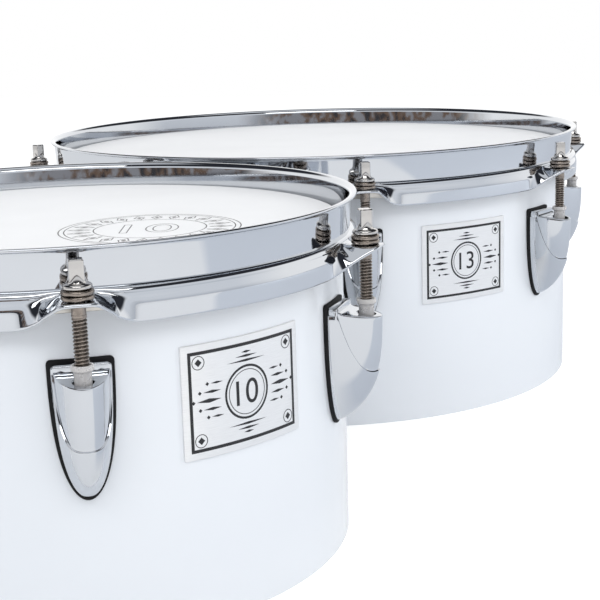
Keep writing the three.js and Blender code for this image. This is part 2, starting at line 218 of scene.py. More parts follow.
def drum_ring(name, drum, section, material, stands_for):
    """A piece with the same section all round a drum, given as reaches and drops."""
    name = f"{name}_{drum.label}"
    mesh = turned(name, section, drum_stations, lambda p, angle: drum.point(p.x, p.y, angle))
    piece(name, mesh, material, f"{stands_for}_{drum.label}", drum.axis)


def new_group(name, inputs, outputs):
    """An empty shader node group, its inputs and outputs named and given with plain values."""
    group = bpy.data.node_groups.new(name, "ShaderNodeTree")
    for side, sockets in (("INPUT", inputs), ("OUTPUT", outputs)):
        for label, value in sockets.items():
            kind = "NodeSocketVector" if isinstance(value, tuple) else "NodeSocketFloat"
            socket = group.interface.new_socket(label, in_out=side, socket_type=kind)
            socket.default_value = value
    start, end = group.nodes.new("NodeGroupInput"), group.nodes.new("NodeGroupOutput")
    return group, start.outputs, end.inputs


def node(tree, kind, values=None, **settings):
    """A shader node with its settings, and its sockets set to values or joined to others."""
    made = tree.nodes.new(kind)
    for key, value in settings.items():
        setattr(made, key, value)
    for socket, value in (values or {}).items():
        if isinstance(value, bpy.types.NodeSocket):
            tree.links.new(value, made.inputs[socket])
        else:
            made.inputs[socket].default_value = value
    return made


def calculated(tree, operation, first, second=0):
    """A sum, product or the like of two values."""
    return node(tree, "ShaderNodeMath", {0: first, 1: second}, operation=operation).outputs[0]


def product(tree, first, second):
    """Two values multiplied."""
    return calculated(tree, "MULTIPLY", first, second)


def between(tree, mask, low, high, start=0, end=1):
    """A value that runs from low to high as a mask runs from its start to its end."""
    return node(tree, "ShaderNodeMapRange", {
        "Value": mask, "From Min": start, "From Max": end, "To Min": low, "To Max": high,
    }).outputs[0]


def blended(tree, mask, first, second):
    """A colour that runs from the first to the second as a mask runs from 0 to 1."""
    made = node(tree, "ShaderNodeMix", {"Factor": mask, 6: first, 7: second}, data_type="RGBA")
    return made.outputs[2]


def noise(tree, place, size, detail, roughness):
    """Even waves of a size over a surface."""
    return node(tree, "ShaderNodeTexNoise", {
        "Vector": place, "Scale": calculated(tree, "DIVIDE", 1, size), "Detail": detail,
        "Roughness": roughness,
    }).outputs[0]


def cloud_group():
    """Soft patches, such as polish, dust or finger marks leave, and the waves they come from."""
    group, given, result = new_group(
        "soft patches", {"Vector": origin, "Size": 30 * mm}, {"Mask": 0.0, "Waves": 0.0})
    waves = noise(group, given["Vector"], given["Size"], detail=4, roughness=0.55)
    group.links.new(between(group, waves, 0, 1, *patch_span), result["Mask"])
    group.links.new(waves, result["Waves"])
    return group


def hairline_group():
    """Fine lines, such as brushing or handling leave, drawn out where the stretch is small."""
    inputs = {"Vector": origin, "Size": 0.4 * mm, "Stretch": (1, 1, 1), "Thinness": 0.5}
    group, given, result = new_group("hairlines", inputs, {"Mask": 0.0})
    shaped = node(group, "ShaderNodeVectorMath", {0: given["Vector"], 1: given["Stretch"]},
                  operation="MULTIPLY").outputs[0]
    waves = noise(group, shaped, given["Size"], detail=2, roughness=0.5)
    group.links.new(between(group, waves, 0, 1, given["Thinness"], line_end), result["Mask"])
    return group


def around_group():
    """Turns a place on a drum into its distance round, out from and along the axis."""
    group, given, result = new_group(
        "round the axis", {"Vector": origin, "Radius": 150 * mm}, {"Vector": origin, "Out": 0.0})
    x, y, z = node(group, "ShaderNodeSeparateXYZ", {0: given["Vector"]}).outputs
    arc = product(group, calculated(group, "ARCTAN2", y, x), given["Radius"])
    flat = node(group, "ShaderNodeCombineXYZ", {0: x, 1: y}).outputs[0]
    out = node(group, "ShaderNodeVectorMath", {0: flat}, operation="LENGTH").outputs["Value"]
    place = node(group, "ShaderNodeCombineXYZ", {0: arc, 1: out, 2: z}).outputs[0]
    group.links.new(place, result["Vector"])
    group.links.new(out, result["Out"])
    return group


groups = {"Mask": cloud_group(), "Lines": hairline_group(), "Round": around_group()}
groups["Waves"] = groups["Mask"]


def new_finish(name, colour, roughness, metallic=0, plain=None):
    """A material with a plain shader, and the place on the piece that its patterns follow."""
    material = bpy.data.materials.new(name)
    material.use_nodes = True
    tree = material.node_tree
    shader = tree.nodes["Principled BSDF"]
    values = {"Base Color": colour, "Roughness": roughness, "Metallic": metallic}
    for socket, value in {**values, **(plain or {})}.items():
        shader.inputs[socket].default_value = value
    return material, tree, shader, node(tree, "ShaderNodeTexCoord").outputs["Object"]


def pattern(tree, place, kind, size, stretch=None, thinness=None):
    """Soft patches or the even waves they come from, or fine lines with a stretch and thinness."""
    values = {"Vector": place, "Size": size}
    if kind == "Lines":
        values.update({"Stretch": stretch, "Thinness": thinness})
    made = node(tree, "ShaderNodeGroup", values, node_tree=groups[kind])
    return made.outputs["Mask" if kind == "Lines" else kind]


def toned(colour, share):
    """A colour made darker, or lighter, by a share."""
    return tuple(share * part for part in colour[:3]) + (1,)


def finished(tree, shader, colour, roughness, height, depth):
    """Joins a colour, a roughness and a relief of the given depth to a material's shader."""
    tree.links.new(colour, shader.inputs["Base Color"])
    tree.links.new(roughness, shader.inputs["Roughness"])
    if depth:
        bump = node(tree, "ShaderNodeBump", {"Height": height, "Distance": depth})
        tree.links.new(bump.outputs[0], shader.inputs["Normal"])


def patterned(name, colour, second, shade, rough, grain=None, depth=0, metallic=0, plain=None):
    """A finish that shifts to a second colour in one pattern, and in sheen in that or another."""
    material, tree, shader, place = new_finish(name, colour, sum(rough) / 2, metallic, plain)
    shift = pattern(tree, place, *shade)
    fine = pattern(tree, place, *grain) if grain else shift
    finished(tree, shader, blended(tree, shift, colour, second), between(tree, fine, *rough),
             fine, depth)
    return material


def ply_finish(drum):
    """Plies: rings of light and dark on the cut edges, and long grain on the inside."""
    material, tree, shader, place = new_finish(f"ply_{drum.label}", ply_light_colour, 0.55)
    unrolled, out = node(tree, "ShaderNodeGroup", {"Vector": place, "Radius": drum.radius},
                         node_tree=groups["Round"]).outputs
    grain = pattern(tree, unrolled, "Lines", size=1.2 * mm, stretch=(0.04, 0, 1), thinness=0.42)
    figure = pattern(tree, unrolled, "Lines", size=12 * mm, stretch=(0.12, 0, 1), thinness=0.3)
    wave = calculated(tree, "SINE", product(tree, out, math.pi / ply_thickness))
    layer_depth, layer_edge = 0.45, 0.2
    layer = between(tree, wave, 0, layer_depth, -layer_edge, layer_edge)
    grain_depth, figure_depth = 0.5, 0.35
    wood = blended(tree, between(tree, grain, 0, grain_depth), ply_light_colour, ply_dark_colour)
    figured = blended(tree, between(tree, figure, 0, figure_depth), wood, ply_dark_colour)
    finished(tree, shader, blended(tree, layer, figured, ply_dark_colour),
             roughness=between(tree, grain, 0.5, 0.7), height=grain, depth=0.04 * mm)
    return material


# Gloss sheet: a hard clear face over white, with faint waves where it is glued down.
gloss_white = patterned(
    "gloss_white", white_colour, toned(white_colour, 0.98), shade=("Waves", 60 * mm),
    rough=(0.2, 0.28), depth=0.01 * mm, plain={"Coat Weight": 0.5, "Coat Roughness": 0.04})
for drum in pair:
    foot, skin = drum.top, finish_thickness
    core = corners_cut([
        (-skin, foot), (-skin, shell_top_drop + shell_bevel), (-shell_bevel, shell_top_drop),
        (-shell_wall, shell_top_drop + shell_wall - shell_bevel), (-shell_wall, foot),
    ], [foot_round, *[shell_edge_round] * 3, foot_round])
    drum_ring("shell_core", drum, core, ply_finish(drum), "shell")
    sheet = corners_cut([
        (0, foot), (0, finish_top_drop), (-skin, finish_top_drop), (-skin, foot),
    ], [skin / 3] * 4)
    drum_ring("shell_finish", drum, sheet, gloss_white, "shell")

# Heads
# A coated white film is drawn over the bearing edge, and its collar is held in the flesh hoop.
# The small one carries the number of its size, printed in dark grey lines towards the camera.
head_drop = 11.2 * mm
film_thickness = 0.25 * mm
collar_reach = 0.5 * mm
collar_drop = 22 * mm
film_shoulder = 1.3 * mm
film_bend = 1.2 * mm
film_colour = (0.93, 0.93, 0.93, 1)
print_colour = (0.10, 0.09, 0.09, 1)
print_thickness = 0.03 * mm
print_radius = 51 * mm
print_angle = math.radians(-9)
print_turn = math.radians(21.4)
print_half = 39 * mm
print_line = 0.48 * mm
print_number_height = 22 * mm
print_ring_shares = (1, 0.94, 0.62)
print_ring_steps = 96
dart_ring_share = 0.78
dart_shares = (0.12, 0.06)
dart_core_shares = (0.05, 0.025)
bend_step = 2 * mm
film_row_shares = (0.8, 0.6, 0.4, 0.2, 0.05)


def both_sides(line, thickness):
    """Outline of a sheet from the line along its middle."""
    half = thickness / 2
    across = []
    for i, point in enumerate(line):
        along = line[min(i + 1, len(line) - 1)] - line[max(i - 1, 0)]
        across.append(Vector((-along.y, along.x)).normalized() * half)
    first = [p + a for p, a in zip(line, across)]
    second = [p - a for p, a in zip(line, across)]
    return first, second, across


def ink_finish(name, colour):
    """Screen ink: thin and even, a little more matt than what it is printed on."""
    return patterned(name, colour, toned(colour, 1.3), ("Mask", 0.6 * mm), rough=(0.38, 0.55))


def number_outlines(text, height):
    """The flat faces that fill a number, its middle at nought, and the lines round them."""
    curve = bpy.data.curves.new("number", "FONT")
    curve.body = text
    curve.align_x = "CENTER"
    curve.align_y = "CENTER"
    curve.resolution_u = 8
    writing = loose("number", curve)
    bpy.context.view_layer.update()
    filled = bpy.data.meshes.new_from_object(writing)
    bpy.data.objects.remove(writing)
    bpy.data.curves.remove(curve)
    across = [v.co.x for v in filled.vertices]
    upwards = [v.co.y for v in filled.vertices]
    scale = height / (max(upwards) - min(upwards))
    middle = Vector(((min(across) + max(across)) / 2, (min(upwards) + max(upwards)) / 2))
    points = [(v.co.xy - middle) * scale for v in filled.vertices]
    faces = [[points[i] for i in face.vertices] for face in filled.polygons]
    used = {}
    for face in filled.polygons:
        for key in face.edge_keys:
            used[key] = used.get(key, 0) + 1
    rims = [(points[a], points[b]) for (a, b), times in used.items() if times == 1]
    return faces, rims


def stroke(start, end, width):
    """A thin bar between two points, a little longer than they are apart."""
    along = (end - start).normalized() * width / 2
    side = Vector((-along.y, along.x))
    return [start - along - side, end + along - side, end + along + side, start - along + side]


def circle(radius, width, steps=48):
    """A thin circle, as a run of bars."""
    ends = [polar(radius, turn, 0).xy for turn in angles_of(steps)]
    return [stroke(a, b, width) for a, b in zip(ends, ends[1:] + ends[:1])]


def diamond(middle, long, wide, turn=0):
    """A diamond, drawn out along one direction."""
    along = Vector((math.cos(turn), math.sin(turn)))
    side = Vector((-along.y, along.x))
    return [middle + along * long, middle + side * wide, middle - along * long,
            middle - side * wide]


def printed(name, shapes, thickness, place_at):
    """Thin ink bodies with the given outlines, cut into short spans so that they can be bent."""
    surface = bmesh.new()
    for shape in shapes:
        surface.faces.new([surface.verts.new((p.x, p.y, 0)) for p in shape])
    edge = max(abs(v.co.x) for v in surface.verts)
    for i in range(-int(edge / bend_step), int(edge / bend_step) + 1):
        everything = surface.verts[:] + surface.edges[:] + surface.faces[:]
        bmesh.ops.bisect_plane(surface, geom=everything, plane_co=(i * bend_step, 0, 0),
                               plane_no=(1, 0, 0), dist=doubled_distance / 2)
    bmesh.ops.recalc_face_normals(surface, faces=surface.faces)
    for face in surface.faces:
        if face.normal.z < 0:
            face.normal_flip()
    raised = bmesh.ops.extrude_face_region(surface, geom=surface.faces[:])["geom"]
    lifted = {v for v in raised if isinstance(v, bmesh.types.BMVert)}
    for vert in surface.verts:
        vert.co = place_at(vert.co, thickness if vert in lifted else 0)
    return kept(name, surface)


def head_print(drum):
    """The size in outline inside two rings, with a wreath of diamonds between them."""
    shapes = []
    for share in print_ring_shares:
        shapes += circle(print_half * share, print_line, print_ring_steps)
    dart_count = 2 * drum.inches + 4
    for turn in angles_of(dart_count):
        middle = Vector((math.cos(turn), math.sin(turn))) * print_half * dart_ring_share
        rim = diamond(middle, *[print_half * share for share in dart_shares], turn)
        shapes += [stroke(a, b, print_line) for a, b in zip(rim, rim[1:] + rim[:1])]
        shapes.append(diamond(middle, *[print_half * share for share in dart_core_shares], turn))
    rims = number_outlines(str(drum.inches), print_number_height)[1]
    shapes += [stroke(a, b, print_line) for a, b in rims]
    surface_height = drum.top - head_drop
    middle = Matrix.Rotation(print_angle, 3, "Z") @ Vector((print_radius, 0, 0))
    turned_by = Matrix.Rotation(print_turn, 3, "Z")
    return printed(f"head_print_{drum.label}", shapes, print_thickness, lambda co, up: (
        middle + turned_by @ Vector((co.x, co.y, 0)) + Vector((0, 0, surface_height + up))))


# Sprayed white coating: a fine tooth, and faint grey where sticks have rubbed it.
white_film = patterned(
    "white_film", film_colour, toned(film_colour, 0.965), shade=("Mask", 50 * mm),
    grain=("Mask", 0.9 * mm), rough=(0.42, 0.6), depth=0.02 * mm)
grey_ink = ink_finish("grey_ink", print_colour)
for drum in pair:
    middle_drop = head_drop + film_thickness / 2
    line = corners_cut([
        (-drum.radius, middle_drop), (-film_shoulder, middle_drop),
        (collar_reach, middle_drop + film_shoulder + collar_reach), (collar_reach, collar_drop),
    ], [0, film_bend / 2, film_bend, 0])
    spread = [Vector((-drum.radius * share, middle_drop)) for share in film_row_shares]
    upper, lower, _ = both_sides(line[:1] + spread + line[1:], film_thickness)
    rows = [[drum.point(p.x, p.y, angle) for angle in angles_of(drum_stations)]
            for p in upper + lower[::-1]]
    name = f"film_{drum.label}"
    piece(name, woven(name, rows), white_film, f"head_{drum.label}", drum.axis)
piece("head_print", head_print(small), grey_ink, at=small.axis)

# Counter hoops
# Each is pressed from one sheet of steel and chromed: a lip turned outwards, an upright wall, a
# round bead, and a skirt that presses on the flesh hoop and is drawn out into an ear at each rod.
# The bead grows away from the rods, and beside each ear the sheet is folded steeply.
hoop_sheet = 1.5 * mm
lip_reach = 6.92 * mm
wall_top_reach = 3.9 * mm
wall_foot_reach = 2.8 * mm
shoulder_drop = 16.45 * mm
lip_cuts = (2 * mm, 2.2 * mm)
wall_cut = 0.9 * mm
# Top, middle and foot of the bead as reaches and drops in millimetres, and its cuts.
bead_near_rod = [Vector((5.15, 16.45)), Vector((5.25, 17.3)), Vector((5.35, 18.4))]
bead_far_off = [Vector((5.8, 16.45)), Vector((5.9, 18.65)), Vector((6.05, 19.3))]
bead_cuts_near_rod = (0.7 * mm, 0.4 * mm)
bead_cuts_far_off = (2.1 * mm, 2.15 * mm)
bead_growth = (8 * mm, 18 * mm)
ear_drop = 18.35 * mm
ear_reach = 22.5 * mm
ear_half_flat = 6.2 * mm
ear_half_spread = 20 * mm
ear_rise_share = 1.5
ear_near_share = 0.8
ear_rise_near_share = 0.85
ear_far_start = 10 * mm
ear_far_end = 25 * mm
ear_bend = 0.8 * mm
ear_hole_radius = 3.35 * mm
valley_half_spread = 12.5 * mm
valley_round = 1.1 * mm
skirt_half_spread = 26 * mm
skirt_reach = 7.6 * mm
skirt_drop = 29.4 * mm
skirt_fold = Vector((6.9, 22)) * mm
skirt_points = 30
skirt_easings = 10
section_easings = 10
# Distances from a rod, each with the step between the hoop's sections up to there.
hoop_steps = ((5 * mm, 0.9 * mm), (14 * mm, 0.45 * mm), (34 * mm, 1 * mm))
plain_step = 3.5 * mm
lip_steps = 7
edge_turns = [math.pi * k / 6 for k in range(1, 6)]
fold_start_share = 0.12
hoop_crease = 50
joined_crease = 34
least_span = 0.0001 * mm
drill_sides = 32
chrome_colour = (0.64, 0.66, 0.69, 1)


def chrome_finish():
    """Bright chrome plate: hardly any roughness, faint polishing haze and a few hairlines."""
    material, tree, shader, place = new_finish("chrome", chrome_colour, 0.05, 1)
    haze = pattern(tree, place, "Waves", size=20 * mm)
    marks = pattern(tree, place, "Lines", size=0.6 * mm, stretch=(1, 1, 0.06), thinness=0.6)
    both = calculated(tree, "MAXIMUM", haze, marks)
    finished(tree, shader, blended(tree, haze, chrome_colour, toned(chrome_colour, 0.95)),
             roughness=between(tree, both, 0.03, 0.075), height=haze, depth=0.003 * mm)
    return material


def smooth(value, low, high):
    """0 below low, 1 above high, and an even curve between them."""
    t = min(1, max(0, (value - low) / (high - low)))
    return t * t * (3 - 2 * t)


def hinge(distance, softness):
    """0 well before nought and the distance itself well after it, with a soft bend between."""
    return (distance + math.hypot(distance, softness)) / 2


def lesser(first, second, softness):
    """The lesser of two values, with a soft bend where they meet."""
    return (first + second - math.hypot(first - second, softness)) / 2


def resampled(line, count):
    """Points at even distances along a line."""
    lengths = [0]
    for a, b in zip(line, line[1:]):
        lengths.append(lengths[-1] + (b - a).length)
    found = []
    i = 0
    for k in range(count):
        target = lengths[-1] * k / (count - 1)
        while i < len(line) - 2 and lengths[i + 1] < target:
            i += 1
        span = max(lengths[i + 1] - lengths[i], least_span)
        found.append(line[i].lerp(line[i + 1], min(1, (target - lengths[i]) / span)))
    return found


def relaxed(line, times):
    """A line with its corners eased, its ends kept."""
    for _ in range(times):
        inner = [(a + 2 * b + c) / 4 for a, b, c in zip(line, line[1:], line[2:])]
        line = line[:1] + inner + line[-1:]
    return line


def skirt_edge(offset):
    """Middle of the sheet at the skirt's lower edge, at a distance along the hoop from a rod."""
    rest = max(0, 1 - hinge(offset - ear_half_flat, ear_bend) / (ear_half_spread - ear_half_flat))
    far = 1 - smooth(offset, ear_far_start, ear_far_end)
    out = ear_near_share * rest ** 2 + (1 - ear_near_share) * far
    up = ear_rise_near_share * rest ** ear_rise_share + (1 - ear_rise_near_share) * far
    lowest = skirt_drop - hoop_sheet / 2
    reach = skirt_reach - hoop_sheet / 2 + (ear_reach - skirt_reach) * out
    return Vector((reach, lowest + (ear_drop - lowest) * up))


def bead(offset):
    """Top, middle and foot of the bead, and its roundness, which grow away from the rods."""
    grown = smooth(offset, *bead_growth)
    points = [a.lerp(b, grown) * mm for a, b in zip(bead_near_rod, bead_far_off)]
    cuts = [a + (b - a) * grown for a, b in zip(bead_cuts_near_rod, bead_cuts_far_off)]
    return points, cuts


def skirt_line(offset):
    """Middle of the sheet from the bead down, across the fold beside the ear, to the edge."""
    (_, middle, foot), _ = bead(offset)
    edge = skirt_edge(offset)
    line = [middle]
    if offset < valley_half_spread:
        low = skirt_edge(valley_half_spread)
        slope = (low.y - foot.y) / (low.x - foot.x)
        softness = valley_round * min(1, 2 - 2 * offset / valley_half_spread)
        for k in range(skirt_points):
            reach = foot.x + (edge.x - foot.x) * k / (skirt_points - 1)
            fall = foot.y + (reach - foot.x) * slope
            line.append(Vector((reach, lesser(fall, edge.y, softness))))
    else:
        settle = smooth(offset, valley_half_spread, skirt_half_spread)
        line += [foot, foot.lerp(edge, fold_start_share).lerp(skirt_fold, settle), edge]
    return relaxed(resampled(line, skirt_points), skirt_easings)


def hoop_section(offset):
    """Section of the hoop's sheet at a distance from a rod, as reaches and drops all round."""
    half = hoop_sheet / 2
    (bead_top, bead_middle, _), bead_cuts = bead(offset)
    line = corners_cut([
        (lip_reach - half, half), (wall_top_reach, half), (wall_foot_reach, shoulder_drop),
        bead_top, bead_middle,
    ], [0, lip_cuts, wall_cut, bead_cuts, 0], lip_steps)[:-1] + skirt_line(offset)
    outer, inner, across = both_sides(line, hoop_sheet)
    lip_ahead = (line[0] - line[1]).normalized() * half
    edge_ahead = (line[-1] - line[-2]).normalized() * half
    lip_end = [line[0] - across[0] * math.cos(t) + lip_ahead * math.sin(t) for t in edge_turns]
    edge_end = [line[-1] + across[-1] * math.cos(t) + edge_ahead * math.sin(t) for t in edge_turns]
    return outer + edge_end + inner[::-1] + lip_end


def hoop_rows(drum):
    """Sections round a hoop, close together beside each ear, each eased into its neighbours."""
    round_length = drum.radius + rod_reach
    half_pitch = drum.lug_step * round_length / 2
    offsets = [0]
    while offsets[-1] < half_pitch - 0.5 * plain_step:
        step = next((s for end, s in hoop_steps if offsets[-1] < end), plain_step)
        offsets.append(offsets[-1] + step)
    offsets[-1] = half_pitch
    sections = [hoop_section(offset) for offset in offsets]
    for _ in range(section_easings):
        padded = [sections[1], *sections, sections[-2]]
        sections = [[(a + 2 * b + c) / 4 for a, b, c in zip(before, here, after)]
                    for before, here, after in zip(padded, padded[1:], padded[2:])]
    there = list(zip(offsets, sections))
    both_ways = [(-offset, section) for offset, section in there[:0:-1]] + there[:-1]
    return [[drum.point(p.x, p.y, angle + offset / round_length) for p in section]
            for angle in drum.angles for offset, section in both_ways]


def spun(name, levels, radius_at, sides=32, sharp=crease, middle=Vector()):
    """Closed mesh round an upright line, its radius given by the level's number and the angle."""
    rows = [[middle + polar(radius_at(level, angle), angle, height) for angle in angles_of(sides)]
            for level, height in enumerate(levels)]
    return woven(name, rows, capped=True, sharp=sharp)


def joined_meshes(name, meshes):
    """One mesh that holds several closed ones, each as it is."""
    whole = bmesh.new()
    for mesh in meshes:
        whole.from_mesh(mesh)
    return creased(kept(name, whole), joined_crease)


def altered(name, mesh, tool_mesh, operation, sharp):
    """One closed mesh joined with or cut by another."""
    body = loose(name, mesh)
    tool = loose("tool", tool_mesh)
    change = body.modifiers.new("change", "BOOLEAN")
    change.object = tool
    change.operation = operation
    change.solver = "MANIFOLD"
    bpy.context.view_layer.update()
    result = bpy.data.meshes.new_from_object(
        body.evaluated_get(bpy.context.evaluated_depsgraph_get()))
    bpy.data.objects.remove(tool)
    bpy.data.objects.remove(body)
    result.name = name
    return creased(result, sharp)


chrome = chrome_finish()
for drum in pair:
    name = f"hoop_{drum.label}"
    pressed = woven(name, hoop_rows(drum), ring=True, sharp=hoop_crease)
    levels = [drum.top - ear_drop - 2 * hoop_sheet, drum.top - ear_drop + 2 * hoop_sheet]
    drills = [
        spun("drill", levels, lambda level, turn: ear_hole_radius, drill_sides,
             middle=drum.point(rod_reach, drum.top, angle))
        for angle in drum.angles
    ]
    holed = altered(name, pressed, joined_meshes("drills", drills), "DIFFERENCE", hoop_crease)
    piece(name, holed, chrome, f"counter_hoop_{drum.label}", drum.axis)

# Flesh hoops
# A folded aluminium channel is crimped round the collar of the film. Only a strip of it shows,
# under each ear.
flesh_inner_reach = 1.1 * mm
flesh_outer_reach = 4.3 * mm
flesh_top_drop = 17.5 * mm
flesh_bottom_drop = 24.5 * mm
flesh_corner = 0.9 * mm
aluminium_colour = (0.70, 0.67, 0.62, 1)


# Mill-finished aluminium, drawn lengthwise: fine lines along it and a dull bloom.
aluminium = patterned(
    "aluminium", aluminium_colour, toned(aluminium_colour, 0.85), shade=("Mask", 12 * mm),
    grain=("Lines", 0.3 * mm, (0.04, 0.04, 1), 0.45), rough=(0.3, 0.48), depth=0.01 * mm,
    metallic=1)
for drum in pair:
    section = corners_cut([
        (flesh_inner_reach, flesh_top_drop), (flesh_outer_reach, flesh_top_drop),
        (flesh_outer_reach, flesh_bottom_drop), (flesh_inner_reach, flesh_bottom_drop),
    ], [flesh_corner] * 4)
    drum_ring("flesh_channel", drum, section, aluminium, "flesh_hoop")

# Gaskets
# A sheet of black rubber, moulded in the shape of a shield, keeps each lug off the white finish.
# It shows all round the lug as a dark border.
gasket_top_drop = 42.1 * mm
gasket_tip_drop = 96.4 * mm
gasket_half_width = 12.4 * mm
gasket_back_reach = 0.05 * mm
gasket_front_reach = 1.5 * mm
gasket_corner = 1.6 * mm
gasket_edge_round = 0.5 * mm
shield_along_share = 2.7
shield_across_share = 0.5
shield_steps = 22
shield_step_share = 1.4
corner_steps = 4
corner_clearance = 1.2
plate_crease = 35
face_shares = [0.02, 0.2, 0.4, 0.6, 0.8]
least_corner_cosine = 0.5
rubber_colour = (0.005, 0.005, 0.006, 1)
rubber_dust_colour = (0.014, 0.014, 0.015, 1)
quarter_steps = [quarter_turn * k / corner_steps for k in range(corner_steps + 1)]


def shield_half(share, half_width):
    """Half width of the shield, from its straight top at 0 to its tip at 1."""
    return half_width * max(0, 1 - share ** shield_along_share) ** shield_across_share


def shield_outline(top_drop, tip_drop, half_width, corner):
    """The shield's outline as places across and drops, once round from its top right corner."""
    length = tip_drop - top_drop
    right = [Vector((half_width - corner + corner * math.sin(turn),
                     top_drop + corner - corner * math.cos(turn))) for turn in quarter_steps]
    for i in range(1, shield_steps + 1):
        share = math.sin(quarter_turn * i / shield_steps) ** shield_step_share
        if share * length > corner_clearance * corner:
            right.append(Vector((shield_half(share, half_width), top_drop + share * length)))
    return right + [Vector((-p.x, p.y)) for p in right[-2::-1]]


def drawn_in(outline, distance):
    """A closed outline moved inwards, square to its own edges."""
    around = list(zip(outline[-1:] + outline[:-1], outline, outline[1:] + outline[:1]))
    turn = sum(before.x * here.y - here.x * before.y for before, here, _ in around)
    side = distance if turn > 0 else -distance
    moved = []
    for before, here, after in around:
        into, out = (here - before).normalized(), (after - here).normalized()
        normal = Vector((-into.y - out.y, into.x + out.x)).normalized()
        square = Vector((-out.y, out.x)).dot(normal)
        moved.append(here + normal * side / max(least_corner_cosine, square))
    return moved


def curved_plate(name, drum, outline, back, front, edge):
    """Plate that follows a shell, with a rounded front edge, facing the drum's +X."""
    middle = sum(outline, Vector((0, 0))) / len(outline)
    round_radius = drum.radius + (back + front) / 2

    def lifted(points, reach):
        return [drum.point(reach, p.y, p.x / round_radius) for p in points]

    def shrunk(points, share):
        return [middle + (p - middle) * share for p in points]

    rows = [lifted(shrunk(outline, share), back) for share in face_shares]
    rows += [lifted(outline, back), lifted(outline, front - edge)]
    for turn in quarter_steps[1:]:
        rows.append(lifted(drawn_in(outline, edge * (1 - math.cos(turn))),
                           front - edge + edge * math.sin(turn)))
    inside = drawn_in(outline, edge)
    rows += [lifted(shrunk(inside, share), front) for share in face_shares[::-1]]
    return woven(name, rows, capped=True, sharp=plate_crease)


def lug_pieces(name, drum, mesh, material, stands_for=None):
    """The same piece at each lug of a drum."""
    for n, angle in enumerate(drum.angles, 1):
        tag = f"{drum.label}_{n}"
        piece(f"{name}_{tag}", mesh, material, stands_for and f"{stands_for}_{tag}",
              drum.axis, angle)


# Moulded black rubber, with a fine matt grain and a little grey dust.
rubber = patterned(
    "rubber", rubber_colour, rubber_dust_colour, shade=("Mask", 10 * mm),
    grain=("Waves", 0.8 * mm), rough=(0.5, 0.72), depth=0.03 * mm,
    plain={"Specular IOR Level": 0.2})
for drum in pair:
    outline = shield_outline(gasket_top_drop, gasket_tip_drop, gasket_half_width, gasket_corner)
    gasket = curved_plate(f"gasket_{drum.label}", drum, outline, gasket_back_reach,
                          gasket_front_reach, gasket_edge_round)
    lug_pieces("rubber_gasket", drum, gasket, rubber, "gasket")

# Lugs
# Each lug is cast in zinc and chromed: a body like half a bullet with a flat top, which stands
# on a shield-shaped foot. Its upper part lies a little back inside a ledge shaped like a U.
lug_inset = 1.3 * mm
lug_back_reach = 1.55 * mm
lug_plate_reach = 5.6 * mm
lug_plate_edge = 0.5 * mm
lug_plate_margin = 0.25 * mm
lug_plate_back = 0.15 * mm
lug_plate_overlap = 14 * mm
lug_reach = 22.4 * mm
lug_step_drop = 2.6 * mm
lug_tip_margin = 0.3 * mm
lug_fall_share = 3
lug_round_share = 0.72
lug_top_fall = 2.1 * mm
lug_top_edge = 0.4 * mm
lug_root_round = 0.6 * mm
ledge_width = 0.7 * mm
ledge_shares = (0.15, 0.32, 0.5, 0.68, 0.85, 1)
ledge_height = 0.6 * mm
u_step_drop = 25.5 * mm
u_reach_share = 0.85
u_curve_share = 2.15
bore_radius = 4.05 * mm
bore_depth = 21 * mm
bore_flare = 0.2 * mm
bore_sides = 40
bore_clearance = 3 * mm
side_columns = 24
top_columns = 8
top_edge_steps = 3
upper_rows = 16
lower_rows = 26
least_half_width = 0.3 * mm
least_depth = 0.15 * mm
ledge_halvings = 30
lug_crease = 28
foot_corner_share = 0.8

lug_top_drop = gasket_top_drop + lug_inset
lug_tip_drop = gasket_tip_drop - lug_inset
lug_half_width = gasket_half_width - lug_inset
body_top_drop = lug_top_drop + lug_step_drop
body_length = lug_tip_drop - lug_tip_margin - body_top_drop
base_depth = lug_plate_reach - lug_back_reach
full_depth = lug_reach - lug_plate_reach


def body_section(down, inset):
    """Half the section of the body from its foot to its nose, as places across and depths."""
    share = min(1, max(0, down) / body_length)
    along = (body_top_drop + down - lug_top_drop) / (lug_tip_drop - lug_top_drop)
    wide = max(least_half_width, shield_half(along, lug_half_width) - inset)
    round_off = max(0, 1 - share ** lug_fall_share) ** lug_round_share
    tall = max(least_depth, (full_depth + base_depth) * round_off - inset)
    turns = [quarter_turn * i / side_columns for i in range(side_columns + 1)]
    return [Vector((wide * math.cos(t), tall * math.sin(t) - base_depth)) for t in turns]


def top_fall(depth):
    """How far the body's top has fallen at a depth: up in a curve at its root, then down."""
    near = lug_root_round - min(lug_root_round, max(0, depth))
    rise = lug_root_round - math.sqrt(lug_root_round ** 2 - near ** 2)
    return lug_top_fall * max(0, depth) / full_depth - rise


def u_fall(depth):
    """How far below the top the ledge lies, at a depth out from the foot."""
    out = min(1, max(0, depth) / (full_depth * u_reach_share))
    return u_step_drop * (1 - (1 - out) ** u_curve_share)


def ledge_fall(column, fall):
    """How far below the top the ledge lies in a column of the body, found by halving."""
    low, high = 0.0, body_length
    for _ in range(ledge_halvings):
        middle = (low + high) / 2
        if middle < u_fall(body_section(middle, 0)[column].y):
            low = middle
        else:
            high = middle
    return max(low, fall + 2 * lug_top_edge)


